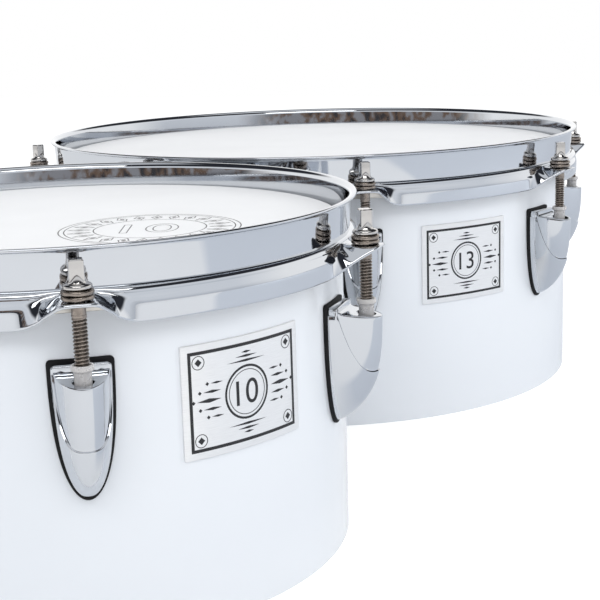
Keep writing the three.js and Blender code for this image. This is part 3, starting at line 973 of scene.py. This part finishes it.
def lug_body(drum):
    """Skin of the body: flat top, upper part, ledge and keel."""
    falls = [top_fall(p.y) for p in body_section(0, ledge_width)]
    ledge = [ledge_fall(column, fall) for column, fall in enumerate(falls)]

    def spot(across, depth, down):
        sag = across ** 2 / (2 * (drum.radius + lug_plate_reach))
        reach = lug_plate_reach + depth - sag * (1 - smooth(depth, 0, full_depth / 2))
        return Vector((drum.radius + reach, across, drum.top - body_top_drop - down))

    def row_at(downs, inset):
        half = []
        for j, down in enumerate(downs):
            p = body_section(down, inset)[j]
            half.append((p.x, p.y, down))
        wide, _, down = half[0]
        back = [(wide * (2 * k / top_columns - 1), -base_depth, down)
                for k in range(1, top_columns)]
        whole = half + [(-x, y, down) for x, y, down in half[-2::-1]] + back
        return [spot(*place) for place in whole]

    rows = []
    for k in range(top_edge_steps + 1):
        turn = quarter_turn * k / top_edge_steps
        inset = ledge_width + lug_top_edge * (1 - math.sin(turn))
        rows.append(row_at([fall + lug_top_edge * (1 - math.cos(turn)) for fall in falls], inset))
    starts = [fall + lug_top_edge for fall in falls]
    for i in range(1, upper_rows + 1):
        downs = [a + (b - a) * i / upper_rows for a, b in zip(starts, ledge)]
        rows.append(row_at(downs, ledge_width))
    for share in ledge_shares:
        rows.append(row_at([down + ledge_height * share for down in ledge],
                           ledge_width * (1 - smooth(share, 0, 1))))
    for i in range(1, lower_rows + 1):
        t = math.sin(quarter_turn * i / lower_rows)
        starts = [down + ledge_height for down in ledge]
        rows.append(row_at([a + (body_length - a) * t for a in starts], 0))

    surface, grid = skinned(rows)
    surface.faces.new(grid[-1])
    rim = grid[0]
    left = 2 * side_columns
    bars = [[rim[0], *rim[:left:-1], rim[left]]]
    for j in range(1, side_columns):
        right, far = rim[j], rim[left - j]
        inner = [surface.verts.new(right.co.lerp(far.co, k / top_columns))
                 for k in range(1, top_columns)]
        bars.append([right, *inner, far])
    bars.append([rim[side_columns]] * (top_columns + 1))
    for here, ahead in zip(bars, bars[1:]):
        for k in range(top_columns):
            corners = list(dict.fromkeys((here[k], here[k + 1], ahead[k + 1], ahead[k])))
            surface.faces.new(corners)
    return settled("lug_body", surface, lug_crease)


def lug_mesh(drum):
    """The body joined to its foot, with the bore for the sleeve."""
    name = f"lug_{drum.label}"
    whole = shield_outline(lug_top_drop, lug_tip_drop, lug_half_width - lug_plate_margin,
                           gasket_corner * foot_corner_share)
    outline = [p for p in whole if p.y < body_top_drop + lug_plate_overlap]
    foot = curved_plate("foot", drum, outline, lug_back_reach + lug_plate_back, lug_plate_reach,
                        lug_plate_edge)
    solid = altered(name, lug_body(drum), foot, "UNION", lug_crease)
    mouth = drum.top - body_top_drop - top_fall(rod_reach - lug_plate_reach)
    levels = [mouth - bore_depth, mouth - bore_flare, mouth + bore_flare, mouth + bore_clearance]
    widths = [bore_radius] * 2 + [bore_radius + 2 * bore_flare] * 2
    bore = spun("bore", levels, lambda level, turn: widths[level], bore_sides,
                middle=Vector((drum.radius + rod_reach, 0, 0)))
    return altered(name, solid, bore, "DIFFERENCE", lug_crease)


for drum in pair:
    lug_pieces("cast_lug", drum, lug_mesh(drum), chrome, "lug")

# Tension rods
# A nickel-plated steel rod with a rolled thread, a square head for the drum key on a bell-shaped
# collar, and two loose washers under the collar. It turns in the nylon sleeve of its lug.
rod_radius = 2.75 * mm
rod_stations = 48
rod_tip_drop = 66 * mm
rod_tip_length = 0.8 * mm
rod_tip_inset = 0.3 * mm
thread_depth = 0.5 * mm
thread_pitch = 1.33 * mm
thread_top_drop = 22.8 * mm
thread_seen_drop = 43 * mm
thread_flank = (0.15, 0.95)
thread_join = 1 * mm
thread_run_out = 1.5 * thread_pitch
thread_rows_per_turn = 10
shank_inset = 0.1 * mm
level_gap = 0.05 * mm
key_half_side = 2.8 * mm
key_top_half_side = 2.75 * mm
key_top_drop = 2.9 * mm
key_chamfer = 0.45 * mm
key_chamfer_slope = 0.9
key_chamfer_start = 0.75
key_corner_share = 1.3
key_corner_softness = 0.25 * mm
key_turn_per_lug = math.radians(37)
bell_top_drop = 6.4 * mm
bell_radius = 3.75 * mm
bell_neck = 0.95 * key_half_side
bell_curve_share = 2.2
collar_top_drop = 11.3 * mm
collar_bottom_drop = 13.4 * mm
collar_middle_drop = collar_bottom_drop * 0.6 + collar_top_drop * 0.4
rod_collar_radius = 5.45 * mm
collar_edge_fall = 1.4 * mm
washer_radius = 5.95 * mm
washer_bottom_drop = 17.45 * mm
washer_thickness = 1.7 * mm
washer_bore = 3 * mm
washer_edge = 0.7 * mm
washer_wave = 0.11 * mm
washer_waves = 3
rod_crease = 32
grease_line = (-0.2 * mm, 0.4 * mm)
root_shade_margin = 0.15 * mm
bright_nickel = (0.60, 0.58, 0.56, 1)
dull_nickel = (0.36, 0.31, 0.27, 1)


def nickel_finish(drum):
    """Nickel plate: bright on the head, yellowed with grease on washers and thread, painted shade
    in thread roots.
    """
    material, tree, shader, place = new_finish(f"nickel_{drum.label}", bright_nickel, 0.1, 1)
    height = node(tree, "ShaderNodeSeparateXYZ", {0: place}).outputs[2]
    low = drum.top - collar_bottom_drop
    above = between(tree, height, 0, 1, *[low + part for part in grease_line])
    grease = pattern(tree, place, "Mask", size=2.5 * mm)
    out = node(tree, "ShaderNodeGroup", {"Vector": place, "Radius": rod_radius},
               node_tree=groups["Round"]).outputs["Out"]
    # Painted shade: the thread's roots are darkened to three tenths of the greased nickel colour.
    root_shade = between(tree, out, 1, 0, rod_radius - thread_depth, rod_radius - root_shade_margin)
    dull = blended(tree, grease, dull_nickel, toned(dull_nickel, 0.75))
    greased_with_root_shade = blended(tree, root_shade, dull, toned(dull_nickel, 0.3))
    dull_roughness, bright_roughness, grease_roughness = 0.24, 0.07, 0.06
    rough = calculated(tree, "ADD", between(tree, above, dull_roughness, bright_roughness),
                       between(tree, grease, 0, grease_roughness))
    finished(tree, shader, blended(tree, above, greased_with_root_shade, bright_nickel), rough, grease, 0.006 * mm)
    return material


def rod_mesh(drum):
    """Shank and thread from the tip up, then the collar, the bell and the square head."""
    top = drum.top
    row_step = thread_pitch / thread_rows_per_turn
    thread_rows = round((thread_seen_drop - thread_top_drop) / row_step)
    # Kind of level, first drop, last drop and the steps between them.
    spans = [
        ("tip", rod_tip_drop, rod_tip_drop, 0),
        ("hidden", rod_tip_drop - rod_tip_length, thread_seen_drop + thread_join, 3),
        ("thread", thread_seen_drop, thread_top_drop, thread_rows),
        ("shank", thread_top_drop - row_step, collar_bottom_drop + level_gap, 1),
        ("collar", collar_bottom_drop, collar_top_drop, 8),
        ("bell", collar_top_drop - 2 * level_gap, bell_top_drop, 16),
        ("key", bell_top_drop - 4 * level_gap, key_top_drop + key_chamfer, 4),
        ("chamfer", key_top_drop + key_chamfer * key_chamfer_start, key_top_drop, 3),
    ]
    levels, kinds = [], []
    for kind, low, high, steps in spans:
        for i in range(steps + 1):
            levels.append(top - low + (low - high) * i / max(1, steps))
            kinds.append(kind)

    def square(angle, drop):
        half = key_top_half_side + (key_half_side - key_top_half_side) * smooth(
            drop, key_top_drop, bell_top_drop)
        flat = half / max(abs(math.cos(angle)), abs(math.sin(angle)))
        return lesser(flat, half * key_corner_share, key_corner_softness)

    def radius_at(level, angle):
        kind, height = kinds[level], levels[level]
        drop = top - height
        if kind == "tip":
            return rod_radius - thread_depth - rod_tip_inset
        if kind == "hidden":
            return rod_radius - thread_depth / 2
        if kind == "thread":
            turns = (height / thread_pitch - angle / full_turn) % 1
            run_out = smooth(drop, thread_top_drop, thread_top_drop + thread_run_out)
            wave = abs(2 * turns - 1)
            return rod_radius - thread_depth * run_out * smooth(wave, *thread_flank)
        if kind == "shank":
            return rod_radius - shank_inset
        if kind == "collar":
            side = (drop - collar_middle_drop) / (collar_middle_drop - collar_top_drop)
            return rod_collar_radius - collar_edge_fall * min(1, abs(side)) ** 3
        if kind == "bell":
            rise = (collar_top_drop - drop) / (collar_top_drop - bell_top_drop)
            bell = bell_neck + (bell_radius - bell_neck) * max(0, 1 - rise) ** bell_curve_share
            return max(bell, square(angle, drop))
        chamfer = max(0, key_top_drop + key_chamfer - drop)
        return square(angle, drop) - chamfer * key_chamfer_slope

    return spun(f"rod_{drum.label}", levels, radius_at, rod_stations, rod_crease)


def washer(bottom, wave):
    """One loose washer, slightly wavy, with rolled edges."""
    section = corners_cut([
        (washer_bore, 0), (washer_radius, 0),
        (washer_radius, washer_thickness), (washer_bore, washer_thickness),
    ], [0, washer_edge, washer_edge, 0], steps=5)
    return turned("washer", section, rod_stations, lambda p, angle: polar(
        p.x, angle, p.y + (bottom + wave * math.sin(washer_waves * angle))))


for drum in pair:
    lowest = drum.top - washer_bottom_drop + washer_wave
    highest = lowest + washer_thickness + 2 * washer_wave
    washers = [washer(lowest, washer_wave), washer(highest, -washer_wave)]
    whole_rod = joined_meshes(f"rod_{drum.label}", [rod_mesh(drum), *washers])
    nickel = nickel_finish(drum)
    for n, (place, angle) in enumerate(zip(drum.rods, drum.angles)):
        tag = f"{drum.label}_{n + 1}"
        piece(f"key_rod_{tag}", whole_rod, nickel, f"tension_rod_{tag}",
              Vector((place.x, place.y, 0)), angle + n * key_turn_per_lug, f"tension_rod_{tag}")

# Lug sleeves
# A nylon sleeve is pressed into the mouth of each lug. The rod's thread runs in it, so that it
# can't rattle loose, and its flanged end stands above the lug.
sleeve_top_drop = 40.8 * mm
sleeve_flange_radius = 4.15 * mm
sleeve_flange_height = 2 * mm
sleeve_radius = 3.25 * mm
sleeve_bore = 3 * mm
sleeve_bottom_drop = 60 * mm
sleeve_round = 0.35 * mm
sleeve_foot_round = 0.08 * mm
sleeve_stations = 40
nylon_colour = (0.78, 0.76, 0.75, 1)

# Natural nylon, milky and slightly see-through, with a waxy surface.
nylon = patterned(
    "nylon", nylon_colour, toned(nylon_colour, 0.93), shade=("Mask", 3 * mm), rough=(0.24, 0.36),
    depth=0.01 * mm, plain={
        "Transmission Weight": 0.35, "Subsurface Weight": 0.5, "Subsurface Scale": 1,
        "Subsurface Radius": (1.5 * mm, 1.5 * mm, 1.4 * mm),
    })
flange_bottom_drop = sleeve_top_drop + sleeve_flange_height
sleeve_section = corners_cut([
    (sleeve_bore, sleeve_top_drop), (sleeve_flange_radius, sleeve_top_drop),
    (sleeve_flange_radius, flange_bottom_drop), (sleeve_radius, flange_bottom_drop + sleeve_round),
    (sleeve_radius, sleeve_bottom_drop), (sleeve_bore, sleeve_bottom_drop),
], [sleeve_round] * 4 + [sleeve_foot_round] * 2, steps=4)
for drum in pair:
    sleeve = turned(f"sleeve_{drum.label}", sleeve_section, sleeve_stations,
                    lambda p, angle: polar(p.x, angle, drum.top - p.y))
    for n, (place, angle) in enumerate(zip(drum.rods, drum.angles), 1):
        piece(f"nylon_sleeve_{drum.label}_{n}", sleeve, nylon, None,
              Vector((place.x, place.y, 0)), angle)

# Lug screws
# Two machine screws hold each lug from inside the drum, each on a plain washer, with a cross
# in its domed head. They show only from underneath.
screw_drops = (53 * mm, 82 * mm)
screw_head_radius = 3.8 * mm
screw_head_height = 2.4 * mm
screw_washer_radius = 5.2 * mm
screw_washer_thickness = 1 * mm
screw_washer_sink = 0.15 * mm
screw_washer_edge = 0.15 * mm
screw_seat_gap = 0.02 * mm
screw_dome_start = 0.6 * mm
screw_dome_steps = 9
screw_dome_share = 0.93
cross_half_length = 2.2 * mm
cross_half_width = 0.4 * mm
cross_depth = 1.3 * mm
zinc_colour = (0.55, 0.56, 0.58, 1)


def box_mesh(name, low, high):
    """A closed box between two corners."""
    rows = [[Vector((x, y, z)) for x, y in ((low.x, low.y), (high.x, low.y), (high.x, high.y),
                                            (low.x, high.y))] for z in (low.z, high.z)]
    return woven(name, rows, capped=True)


def screw_mesh():
    """Washer and domed head with its cross, standing on the plane at nought."""
    seat = screw_washer_thickness
    levels = [-screw_washer_sink, seat - screw_washer_edge, seat, seat + screw_seat_gap]
    widths = [screw_washer_radius, screw_washer_radius, screw_washer_radius - screw_washer_edge,
              screw_head_radius]
    for k in range(1, screw_dome_steps):
        turn = quarter_turn * k / screw_dome_steps
        dome = (screw_head_height - screw_dome_start) * math.sin(turn)
        levels.append(seat + screw_dome_start + dome)
        widths.append(screw_head_radius * math.cos(turn * screw_dome_share))
    head = spun("screw", levels, lambda level, turn: widths[level])
    top = seat + screw_head_height
    for across, along in ((cross_half_length, cross_half_width),
                          (cross_half_width, cross_half_length)):
        low = Vector((-across, -along, top - cross_depth))
        head = altered("screw", head, box_mesh("cross", low, Vector((across, along, top + mm))),
                       "DIFFERENCE", crease)
    return head


# Zinc-plated steel: pale grey, slightly patchy, half dull.
zinc = patterned(
    "zinc", zinc_colour, toned(zinc_colour, 0.8), shade=("Mask", 2 * mm), rough=(0.24, 0.42),
    depth=0.008 * mm, metallic=1)
inwards = Matrix.Rotation(-quarter_turn, 4, "Y")


def turned_in(mesh, reach, height):
    """A copy of a mesh that stands on the plane at nought, turned to face the drum's axis."""
    copy = mesh.copy()
    copy.transform(Matrix.Translation((reach, 0, height)) @ inwards)
    return copy


screw = screw_mesh()
for drum in pair:
    copies = [turned_in(screw, drum.radius - shell_wall, drum.top - drop) for drop in screw_drops]
    both_screws = joined_meshes(f"lug_screws_{drum.label}", copies)
    lug_pieces("lug_screws", drum, both_screws, zinc)

# Badges
# A thin rectangle of satin metal is curved to the shell and glued on between the first two lugs.
# A border, the drum's size in a ring and plain tapering bars are screened on it in black.
badge_width = 58.7 * mm
badge_height = 45.1 * mm
badge_thickness = 0.8 * mm
badge_back_reach = 0.03 * mm
badge_top_drop = 42.6 * mm
badge_corner = 0.8 * mm
badge_edge_round = 0.25 * mm
badge_margin = 2.8 * mm
badge_line = 1.3 * mm
badge_ink_thickness = 0.03 * mm
badge_rings = ((10.4 * mm, 0.9 * mm), (8.9 * mm, 0.3 * mm))
badge_number_height = 10 * mm
# Bars beside the ring, in millimetres: height, start, end and half width.
badge_bars = ((0, 12.6, 23.4, 0.85), (3.4, 12.6, 20.6, 0.6), (-3.4, 12.6, 20.6, 0.6),
              (6.6, 11.6, 17.2, 0.45), (-6.6, 11.6, 17.2, 0.45))
bar_point_gap = 1.4
bar_point_half = 0.8 * mm
# Bars above and below the ring, in millimetres: height and half length.
badge_cross_bars = ((12.6, 9.5), (14.4, 5.5), (16.0, 2.5))
cross_bar_half = 0.5 * mm
rivet_inset = 4.4 * mm
rivet_half = 1.5 * mm
rivet_ring = (2.6 * mm, 0.3 * mm, 20)
badge_colour = (0.90, 0.90, 0.90, 1)
black_ink_colour = (0.012, 0.012, 0.014, 1)


def plate_outline(width, height, top_drop, corner, corner_steps, longest):
    """Rectangle with round corners and points along its sides, as places across and drops."""
    half = width / 2
    low_drop = top_drop + height
    cut = corners_cut([(half, top_drop), (half, low_drop), (-half, low_drop), (-half, top_drop)],
                      [corner] * 4, corner_steps)
    outline = []
    for point, ahead in zip(cut, cut[1:] + cut[:1]):
        steps = max(1, round((ahead - point).length / longest))
        outline += [point.lerp(ahead, k / steps) for k in range(steps)]
    return outline


def badge_shapes(drum):
    """Everything printed on the badge, as flat outlines round its middle."""
    wide = badge_width / 2 - badge_margin
    tall = badge_height / 2 - badge_margin
    outer = [Vector((-wide, -tall)), Vector((wide, -tall)), Vector((wide, tall)),
             Vector((-wide, tall))]
    inner = [Vector((p.x - math.copysign(badge_line, p.x), p.y - math.copysign(badge_line, p.y)))
             for p in outer]
    shapes = [[outer[i - 1], outer[i], inner[i], inner[i - 1]] for i in range(4)]
    for ring in badge_rings:
        shapes += circle(*ring)
    shapes += number_outlines(str(drum.inches), badge_number_height)[0]
    for side in (-1, 1):
        for rise, start, end, half in badge_bars:
            middle = Vector((side * (start + end) / 2, rise)) * mm
            shapes.append(diamond(middle, (end - start) / 2 * mm, half * mm))
            point = Vector((side * (end + bar_point_gap), rise)) * mm
            shapes.append(diamond(point, bar_point_half, bar_point_half))
        for rise in (-1, 1):
            corner = Vector((side * (wide - rivet_inset), rise * (tall - rivet_inset)))
            shapes.append(diamond(corner, rivet_half, rivet_half))
            shapes += [[p + corner for p in bar] for bar in circle(*rivet_ring)]
    for rise in (-1, 1):
        for height, half in badge_cross_bars:
            shapes.append(diamond(Vector((0, rise * height)) * mm, half * mm, cross_bar_half))
    return shapes


# Satin silver plate, brushed along its length, under a thin clear lacquer.
badge_metal = patterned(
    "badge_metal", badge_colour, toned(badge_colour, 0.93),
    shade=("Lines", 0.2 * mm, (0.03, 0.03, 1), 0.4), rough=(0.34, 0.46), depth=0.004 * mm,
    metallic=0.65, plain={"Coat Weight": 0.3, "Coat Roughness": 0.1})
black_ink = ink_finish("black_ink", black_ink_colour)
outline = plate_outline(badge_width, badge_height, badge_top_drop, badge_corner,
                        corner_steps=4, longest=3 * mm)
front = badge_back_reach + badge_thickness
for drum in pair:
    badge_angle = (drum.angles[0] + drum.angles[1]) / 2
    name = f"badge_plate_{drum.label}"
    plate = curved_plate(name, drum, outline, badge_back_reach, front, badge_edge_round)
    piece(name, plate, badge_metal, f"badge_{drum.label}", drum.axis, badge_angle)
    face_radius = drum.radius + front
    middle_height = drum.top - badge_top_drop - badge_height / 2
    name = f"badge_print_{drum.label}"
    ink = printed(name, badge_shapes(drum), badge_ink_thickness, lambda co, up: polar(
        face_radius + up, co.x / face_radius, middle_height + co.y))
    piece(name, ink, black_ink, None, drum.axis, badge_angle)

# Joining block, plates and bolts
# An aluminium block, milled to the curve of both shells, carries one drum on the other. Two
# flanged bolts a side go through a curved steel plate and the shell into the block.
block_half_width = 22 * mm
block_height = 56 * mm
block_top_drop = 58 * mm
block_wall = 9 * mm
block_corner = 4 * mm
block_gap = 0.3 * mm
block_edge = 0.8 * mm
block_steps = 16
block_crease = 40
window_corner = 0.8 * block_corner
plate_width = 52 * mm
plate_height = 66 * mm
plate_thickness = 2.5 * mm
plate_corner = 5 * mm
plate_gap = 0.5 * mm
plate_edge = 0.5 * mm
bolt_spacing = 34 * mm
bolt_half_across = 4.7 * mm
bolt_head_height = 4 * mm
bolt_flange_radius = 6.6 * mm
bolt_flange_thickness = 1.2 * mm
bolt_flange_insets = (0, 0.05 * mm, 0.5 * mm)
bolt_seat_gap = 0.01 * mm
bolt_chamfer_drops = (0.8 * mm, 0.3 * mm)
bolt_chamfer_shares = (1.16, 1.16, 1.09, 1.0)
bolt_sides = 72
bolt_crease = 24
block_colour = (0.52, 0.53, 0.54, 1)
held_colour = (0.44, 0.45, 0.46, 1)


def block_outline(wide, near_at, far_at):
    """An outline with a long side towards each drum, from the drop of each side at a place."""
    places = [wide * (2 * i / block_steps - 1) for i in range(block_steps + 1)]
    return [Vector((x, near_at(x))) for x in places] + [Vector((-x, far_at(x))) for x in places]


def block_mesh():
    """Frame-shaped section, extruded: an outline, a window, and rows with eased edges between."""
    near_radius = small.radius + block_gap
    far_radius = large.radius + block_gap
    outline = block_outline(
        block_half_width, lambda x: small.axis.y + math.sqrt(near_radius ** 2 - x ** 2),
        lambda x: large.axis.y - math.sqrt(far_radius ** 2 - x ** 2))
    wide = block_half_width - block_wall

    def corner_lift(x):
        edge = max(0, abs(x) - wide + window_corner) / window_corner
        return window_corner * (1 - math.sqrt(max(0, 1 - edge * edge)))

    near = small.axis.y + small.radius + block_gap + block_wall
    far = large.axis.y - large.radius - block_gap - block_wall
    window = block_outline(wide, lambda x: near + corner_lift(x), lambda x: far - corner_lift(x))
    high = small.top - block_top_drop
    low = high - block_height
    ease = block_edge
    slight = 0.3 * ease

    def at(points, height, inset):
        moved = drawn_in(points, inset) if inset else points
        return [Vector((p.x, p.y, height)) for p in moved]

    rows = [
        at(outline, low + ease, 0), at(outline, high - ease, 0), at(outline, high - slight, slight),
        at(outline, high, ease), at(window, high, -ease), at(window, high - slight, -slight),
        at(window, high - ease, 0), at(window, low + ease, 0), at(window, low + slight, -slight),
        at(window, low, -ease), at(outline, low, ease), at(outline, low + slight, slight),
    ]
    return woven("joining_block", rows, ring=True, sharp=block_crease)


def bolt_mesh():
    """Hexagon with a chamfered top on a round flange, standing on the plane at nought."""
    flange = bolt_flange_thickness
    head = flange + bolt_head_height
    levels = [0, flange * 0.5, flange, flange + bolt_seat_gap,
              *[head - drop for drop in bolt_chamfer_drops], head]
    flange_levels = len(bolt_flange_insets)
    side_turn = full_turn / 6

    def radius_at(level, angle):
        if level < flange_levels:
            return bolt_flange_radius - bolt_flange_insets[level]
        turn = (angle + side_turn / 2) % side_turn - side_turn / 2
        flat = bolt_half_across / math.cos(turn)
        return min(flat, bolt_half_across * bolt_chamfer_shares[level - flange_levels])

    return spun("bolt", levels, radius_at, bolt_sides, bolt_crease)


# Sand-blasted and clear anodised aluminium, a little darker where hands have held it.
block_metal = patterned(
    "block_metal", block_colour, held_colour, shade=("Mask", 20 * mm), grain=("Mask", 0.6 * mm),
    rough=(0.42, 0.6), depth=0.02 * mm, metallic=0.9)
piece("spacer_block", block_mesh(), block_metal, "joining_block")
bolt = bolt_mesh()
plate_top_drop = block_top_drop + (block_height - plate_height) / 2
outline = plate_outline(plate_width, plate_height, plate_top_drop, plate_corner,
                        corner_steps=6, longest=4 * mm)
back = -shell_wall - plate_gap
for drum, towards in ((small, quarter_turn), (large, -quarter_turn)):
    name = f"clamp_plate_{drum.label}"
    plate = curved_plate(name, drum, outline, back - plate_thickness, back, plate_edge)
    piece(name, plate, block_metal, f"inner_plate_{drum.label}", drum.axis, towards)
    plate_radius = drum.radius + back - plate_thickness
    seat = math.sqrt(plate_radius ** 2 - bolt_flange_radius ** 2)
    for n, side in enumerate((-1, 1), 1):
        drop = block_top_drop + block_height / 2 + side * bolt_spacing / 2
        tag = f"{drum.label}_{n}"
        piece(f"flange_bolt_{tag}", turned_in(bolt, seat, drum.top - drop), zinc,
              f"joining_bolt_{tag}", drum.axis, towards)

# Floor, lamps and world
# The drums stand on a white table, lit by a large soft box over the camera and one at either
# side, which the chrome doesn't mirror. What it mirrors is a studio painted in the world: dark
# furniture to the left of the camera, a pale wall to the right and a dark band above them.
floor_low = Vector((-2.5, -3.6))
floor_high = Vector((2.8, 2.6))
floor_colour = (0.8, 0.8, 0.8, 1)
floor_glow = 0.42
mirrored_glow_share = 0.35
# A grey part of the table, seen in mirrors only: where it starts and ends from left to right,
# and where it starts from front to back.
strip_left = (0.12, 0.18)
strip_right = (2.6, 2.7)
strip_near = (-0.31, -0.28)
strip_colour = (0.70, 0.73, 0.78, 1)
ambient_strength = 0.86
ambient_colour = (0.95, 0.97, 1, 1)
white = (1, 1, 1, 1)
horizon_colour = (0.03, 0.032, 0.04, 1)
bright_wall_colour = (0.85, 0.88, 0.93, 1)
low_wall_colour = (0.66, 0.69, 0.74, 1)
low_ceiling_colour = (1.15, 1.15, 1.15, 1)
high_ceiling_colour = (0.75, 0.77, 0.8, 1)
room_colours = ((0.05, 0.05, 0.055, 1), (0.17, 0.115, 0.085, 1), (0.30, 0.30, 0.32, 1))
# Spans over which the mirrored studio changes. Heights are sines of the angle above the floor.
camera_side_span = (-0.15, 0.25)
right_wall_span = (0.25, 0.6)
horizon_heights = (0.02, 0.045)
furniture_heights = (0.14, 0.19)
low_wall_heights = (0, 0.2)
room_top_heights = (0.32, 0.5)
band_foot_heights = (0.36, 0.46)
band_top_heights = (0.86, 0.91)
ceiling_heights = (0.5, 0.9)
furniture_stretch = (9, 9, 5)
furniture_scale = 1.6
second_colour_span = (0.40, 0.46)
third_colour_span = (0.50, 0.56)

floor_mesh = bpy.data.meshes.new("floor")
floor_mesh.from_pydata([(floor_low.x, floor_low.y, 0), (floor_high.x, floor_low.y, 0),
                        (floor_high.x, floor_high.y, 0), (floor_low.x, floor_high.y, 0)], [],
                       [(0, 1, 2, 3)])
floor = loose("floor", floor_mesh)
floor_material = bpy.data.materials.new("floor")
floor_material.use_nodes = True
table = floor_material.node_tree
table.nodes.clear()


def rising(tree, value, span):
    """0 before a span, 1 after it, and an even rise within it."""
    return between(tree, value, 0, 1, *span)


def falling(tree, value, span):
    """1 before a span, 0 after it, and an even fall within it."""
    return between(tree, value, 1, 0, *span)


path = node(table, "ShaderNodeLightPath").outputs
place = node(table, "ShaderNodeNewGeometry").outputs["Position"]
x, y, _ = node(table, "ShaderNodeSeparateXYZ", {0: place}).outputs
inside = product(table, rising(table, x, strip_left), falling(table, x, strip_right))
strip = product(table, inside, rising(table, y, strip_near))
mirrored_strip = product(table, path["Is Glossy Ray"], strip)
mirrored_glow = product(table, path["Is Glossy Ray"],
                        between(table, strip, mirrored_glow_share, 0))
glow_share = calculated(table, "MAXIMUM", path["Is Camera Ray"], mirrored_glow)
diffuse = node(table, "ShaderNodeBsdfDiffuse", {
    "Color": blended(table, mirrored_strip, floor_colour, strip_colour),
})
glow = node(table, "ShaderNodeEmission", {
    "Color": white, "Strength": product(table, glow_share, floor_glow),
})
added = node(table, "ShaderNodeAddShader", {0: diffuse.outputs[0], 1: glow.outputs[0]})
node(table, "ShaderNodeOutputMaterial", {0: added.outputs[0]})
floor_mesh.materials.append(floor_material)


def soft_box(name, place, aim_height, width, height, brightness, mirrored=True):
    """A rectangular soft lamp that faces the drums, with the brightness of its front."""
    lamp = bpy.data.lights.new(name, "AREA")
    lamp.shape = "RECTANGLE"
    lamp.size = width
    lamp.size_y = height
    lamp.energy = brightness * math.pi * width * height
    made = loose(name, lamp, place)
    aim = Vector((0, 0, aim_height)) - Vector(place)
    made.rotation_euler = aim.to_track_quat("-Z", "Y").to_euler()
    made.visible_camera = False
    made.visible_glossy = mirrored


soft_box("camera_box", place=(0.5, -1.15, 1.15), aim_height=0.1, width=1.3, height=0.4,
         brightness=3.6)
soft_box("left_box", place=(-1.5, -0.5, 0.75), aim_height=0.12, width=0.5, height=1.1,
         brightness=2.0, mirrored=False)
soft_box("right_box", place=(1.5, 0.5, 0.75), aim_height=0.12, width=0.6, height=1.1,
         brightness=3.0, mirrored=False)

world = bpy.data.worlds.new("studio")
bpy.context.scene.world = world
world.use_nodes = True
sky = world.node_tree
sky.nodes.clear()
direction = node(sky, "ShaderNodeTexCoord").outputs["Generated"]
height = node(sky, "ShaderNodeSeparateXYZ", {0: direction}).outputs[2]


def towards(way):
    """How far the mirrored direction points a way: 1 along it, 0 square to it."""
    return node(sky, "ShaderNodeVectorMath", {0: direction, 1: way},
                operation="DOT_PRODUCT").outputs["Value"]


facing = towards((math.sin(camera_azimuth), -math.cos(camera_azimuth), 0))
rightward = towards((math.cos(camera_azimuth), math.sin(camera_azimuth), 0))
blocks = node(sky, "ShaderNodeVectorMath", {0: direction, 1: furniture_stretch},
              operation="MULTIPLY").outputs[0]
furnishing = node(sky, "ShaderNodeTexNoise", {
    "Vector": blocks, "Scale": furniture_scale, "Detail": 2,
}).outputs[0]
furniture = room_colours[0]
for span, colour in ((second_colour_span, room_colours[1]), (third_colour_span, room_colours[2])):
    furniture = blended(sky, rising(sky, furnishing, span), furniture, colour)
wall = blended(sky, rising(sky, height, furniture_heights), furniture, bright_wall_colour)
left_room = blended(sky, rising(sky, height, horizon_heights), horizon_colour, wall)
right_room = blended(sky, rising(sky, height, low_wall_heights), low_wall_colour,
                     bright_wall_colour)
room = blended(sky, rising(sky, rightward, right_wall_span), left_room, right_room)
ceiling = blended(sky, rising(sky, height, ceiling_heights), low_ceiling_colour,
                  high_ceiling_colour)
band = product(sky, rising(sky, height, band_foot_heights), falling(sky, height, band_top_heights))
upper = blended(sky, band, ceiling, horizon_colour)
in_room = product(sky, rising(sky, facing, camera_side_span),
                  falling(sky, height, room_top_heights))
mirrored = blended(sky, in_room, upper, room)
path = node(sky, "ShaderNodeLightPath").outputs
direct = calculated(sky, "MAXIMUM", path["Is Camera Ray"], path["Is Glossy Ray"])
is_seen = calculated(sky, "MAXIMUM", direct, path["Is Transmission Ray"])
seen_world = node(sky, "ShaderNodeBackground", {
    "Color": blended(sky, path["Is Glossy Ray"], white, mirrored), "Strength": 1,
})
ambient = node(sky, "ShaderNodeBackground", {"Color": ambient_colour,
                                             "Strength": ambient_strength})
either = node(sky, "ShaderNodeMixShader", {
    0: is_seen, 1: ambient.outputs[0], 2: seen_world.outputs[0],
})
node(sky, "ShaderNodeOutputWorld", {0: either.outputs[0]})

bpy.context.scene.view_settings.view_transform = "Standard"
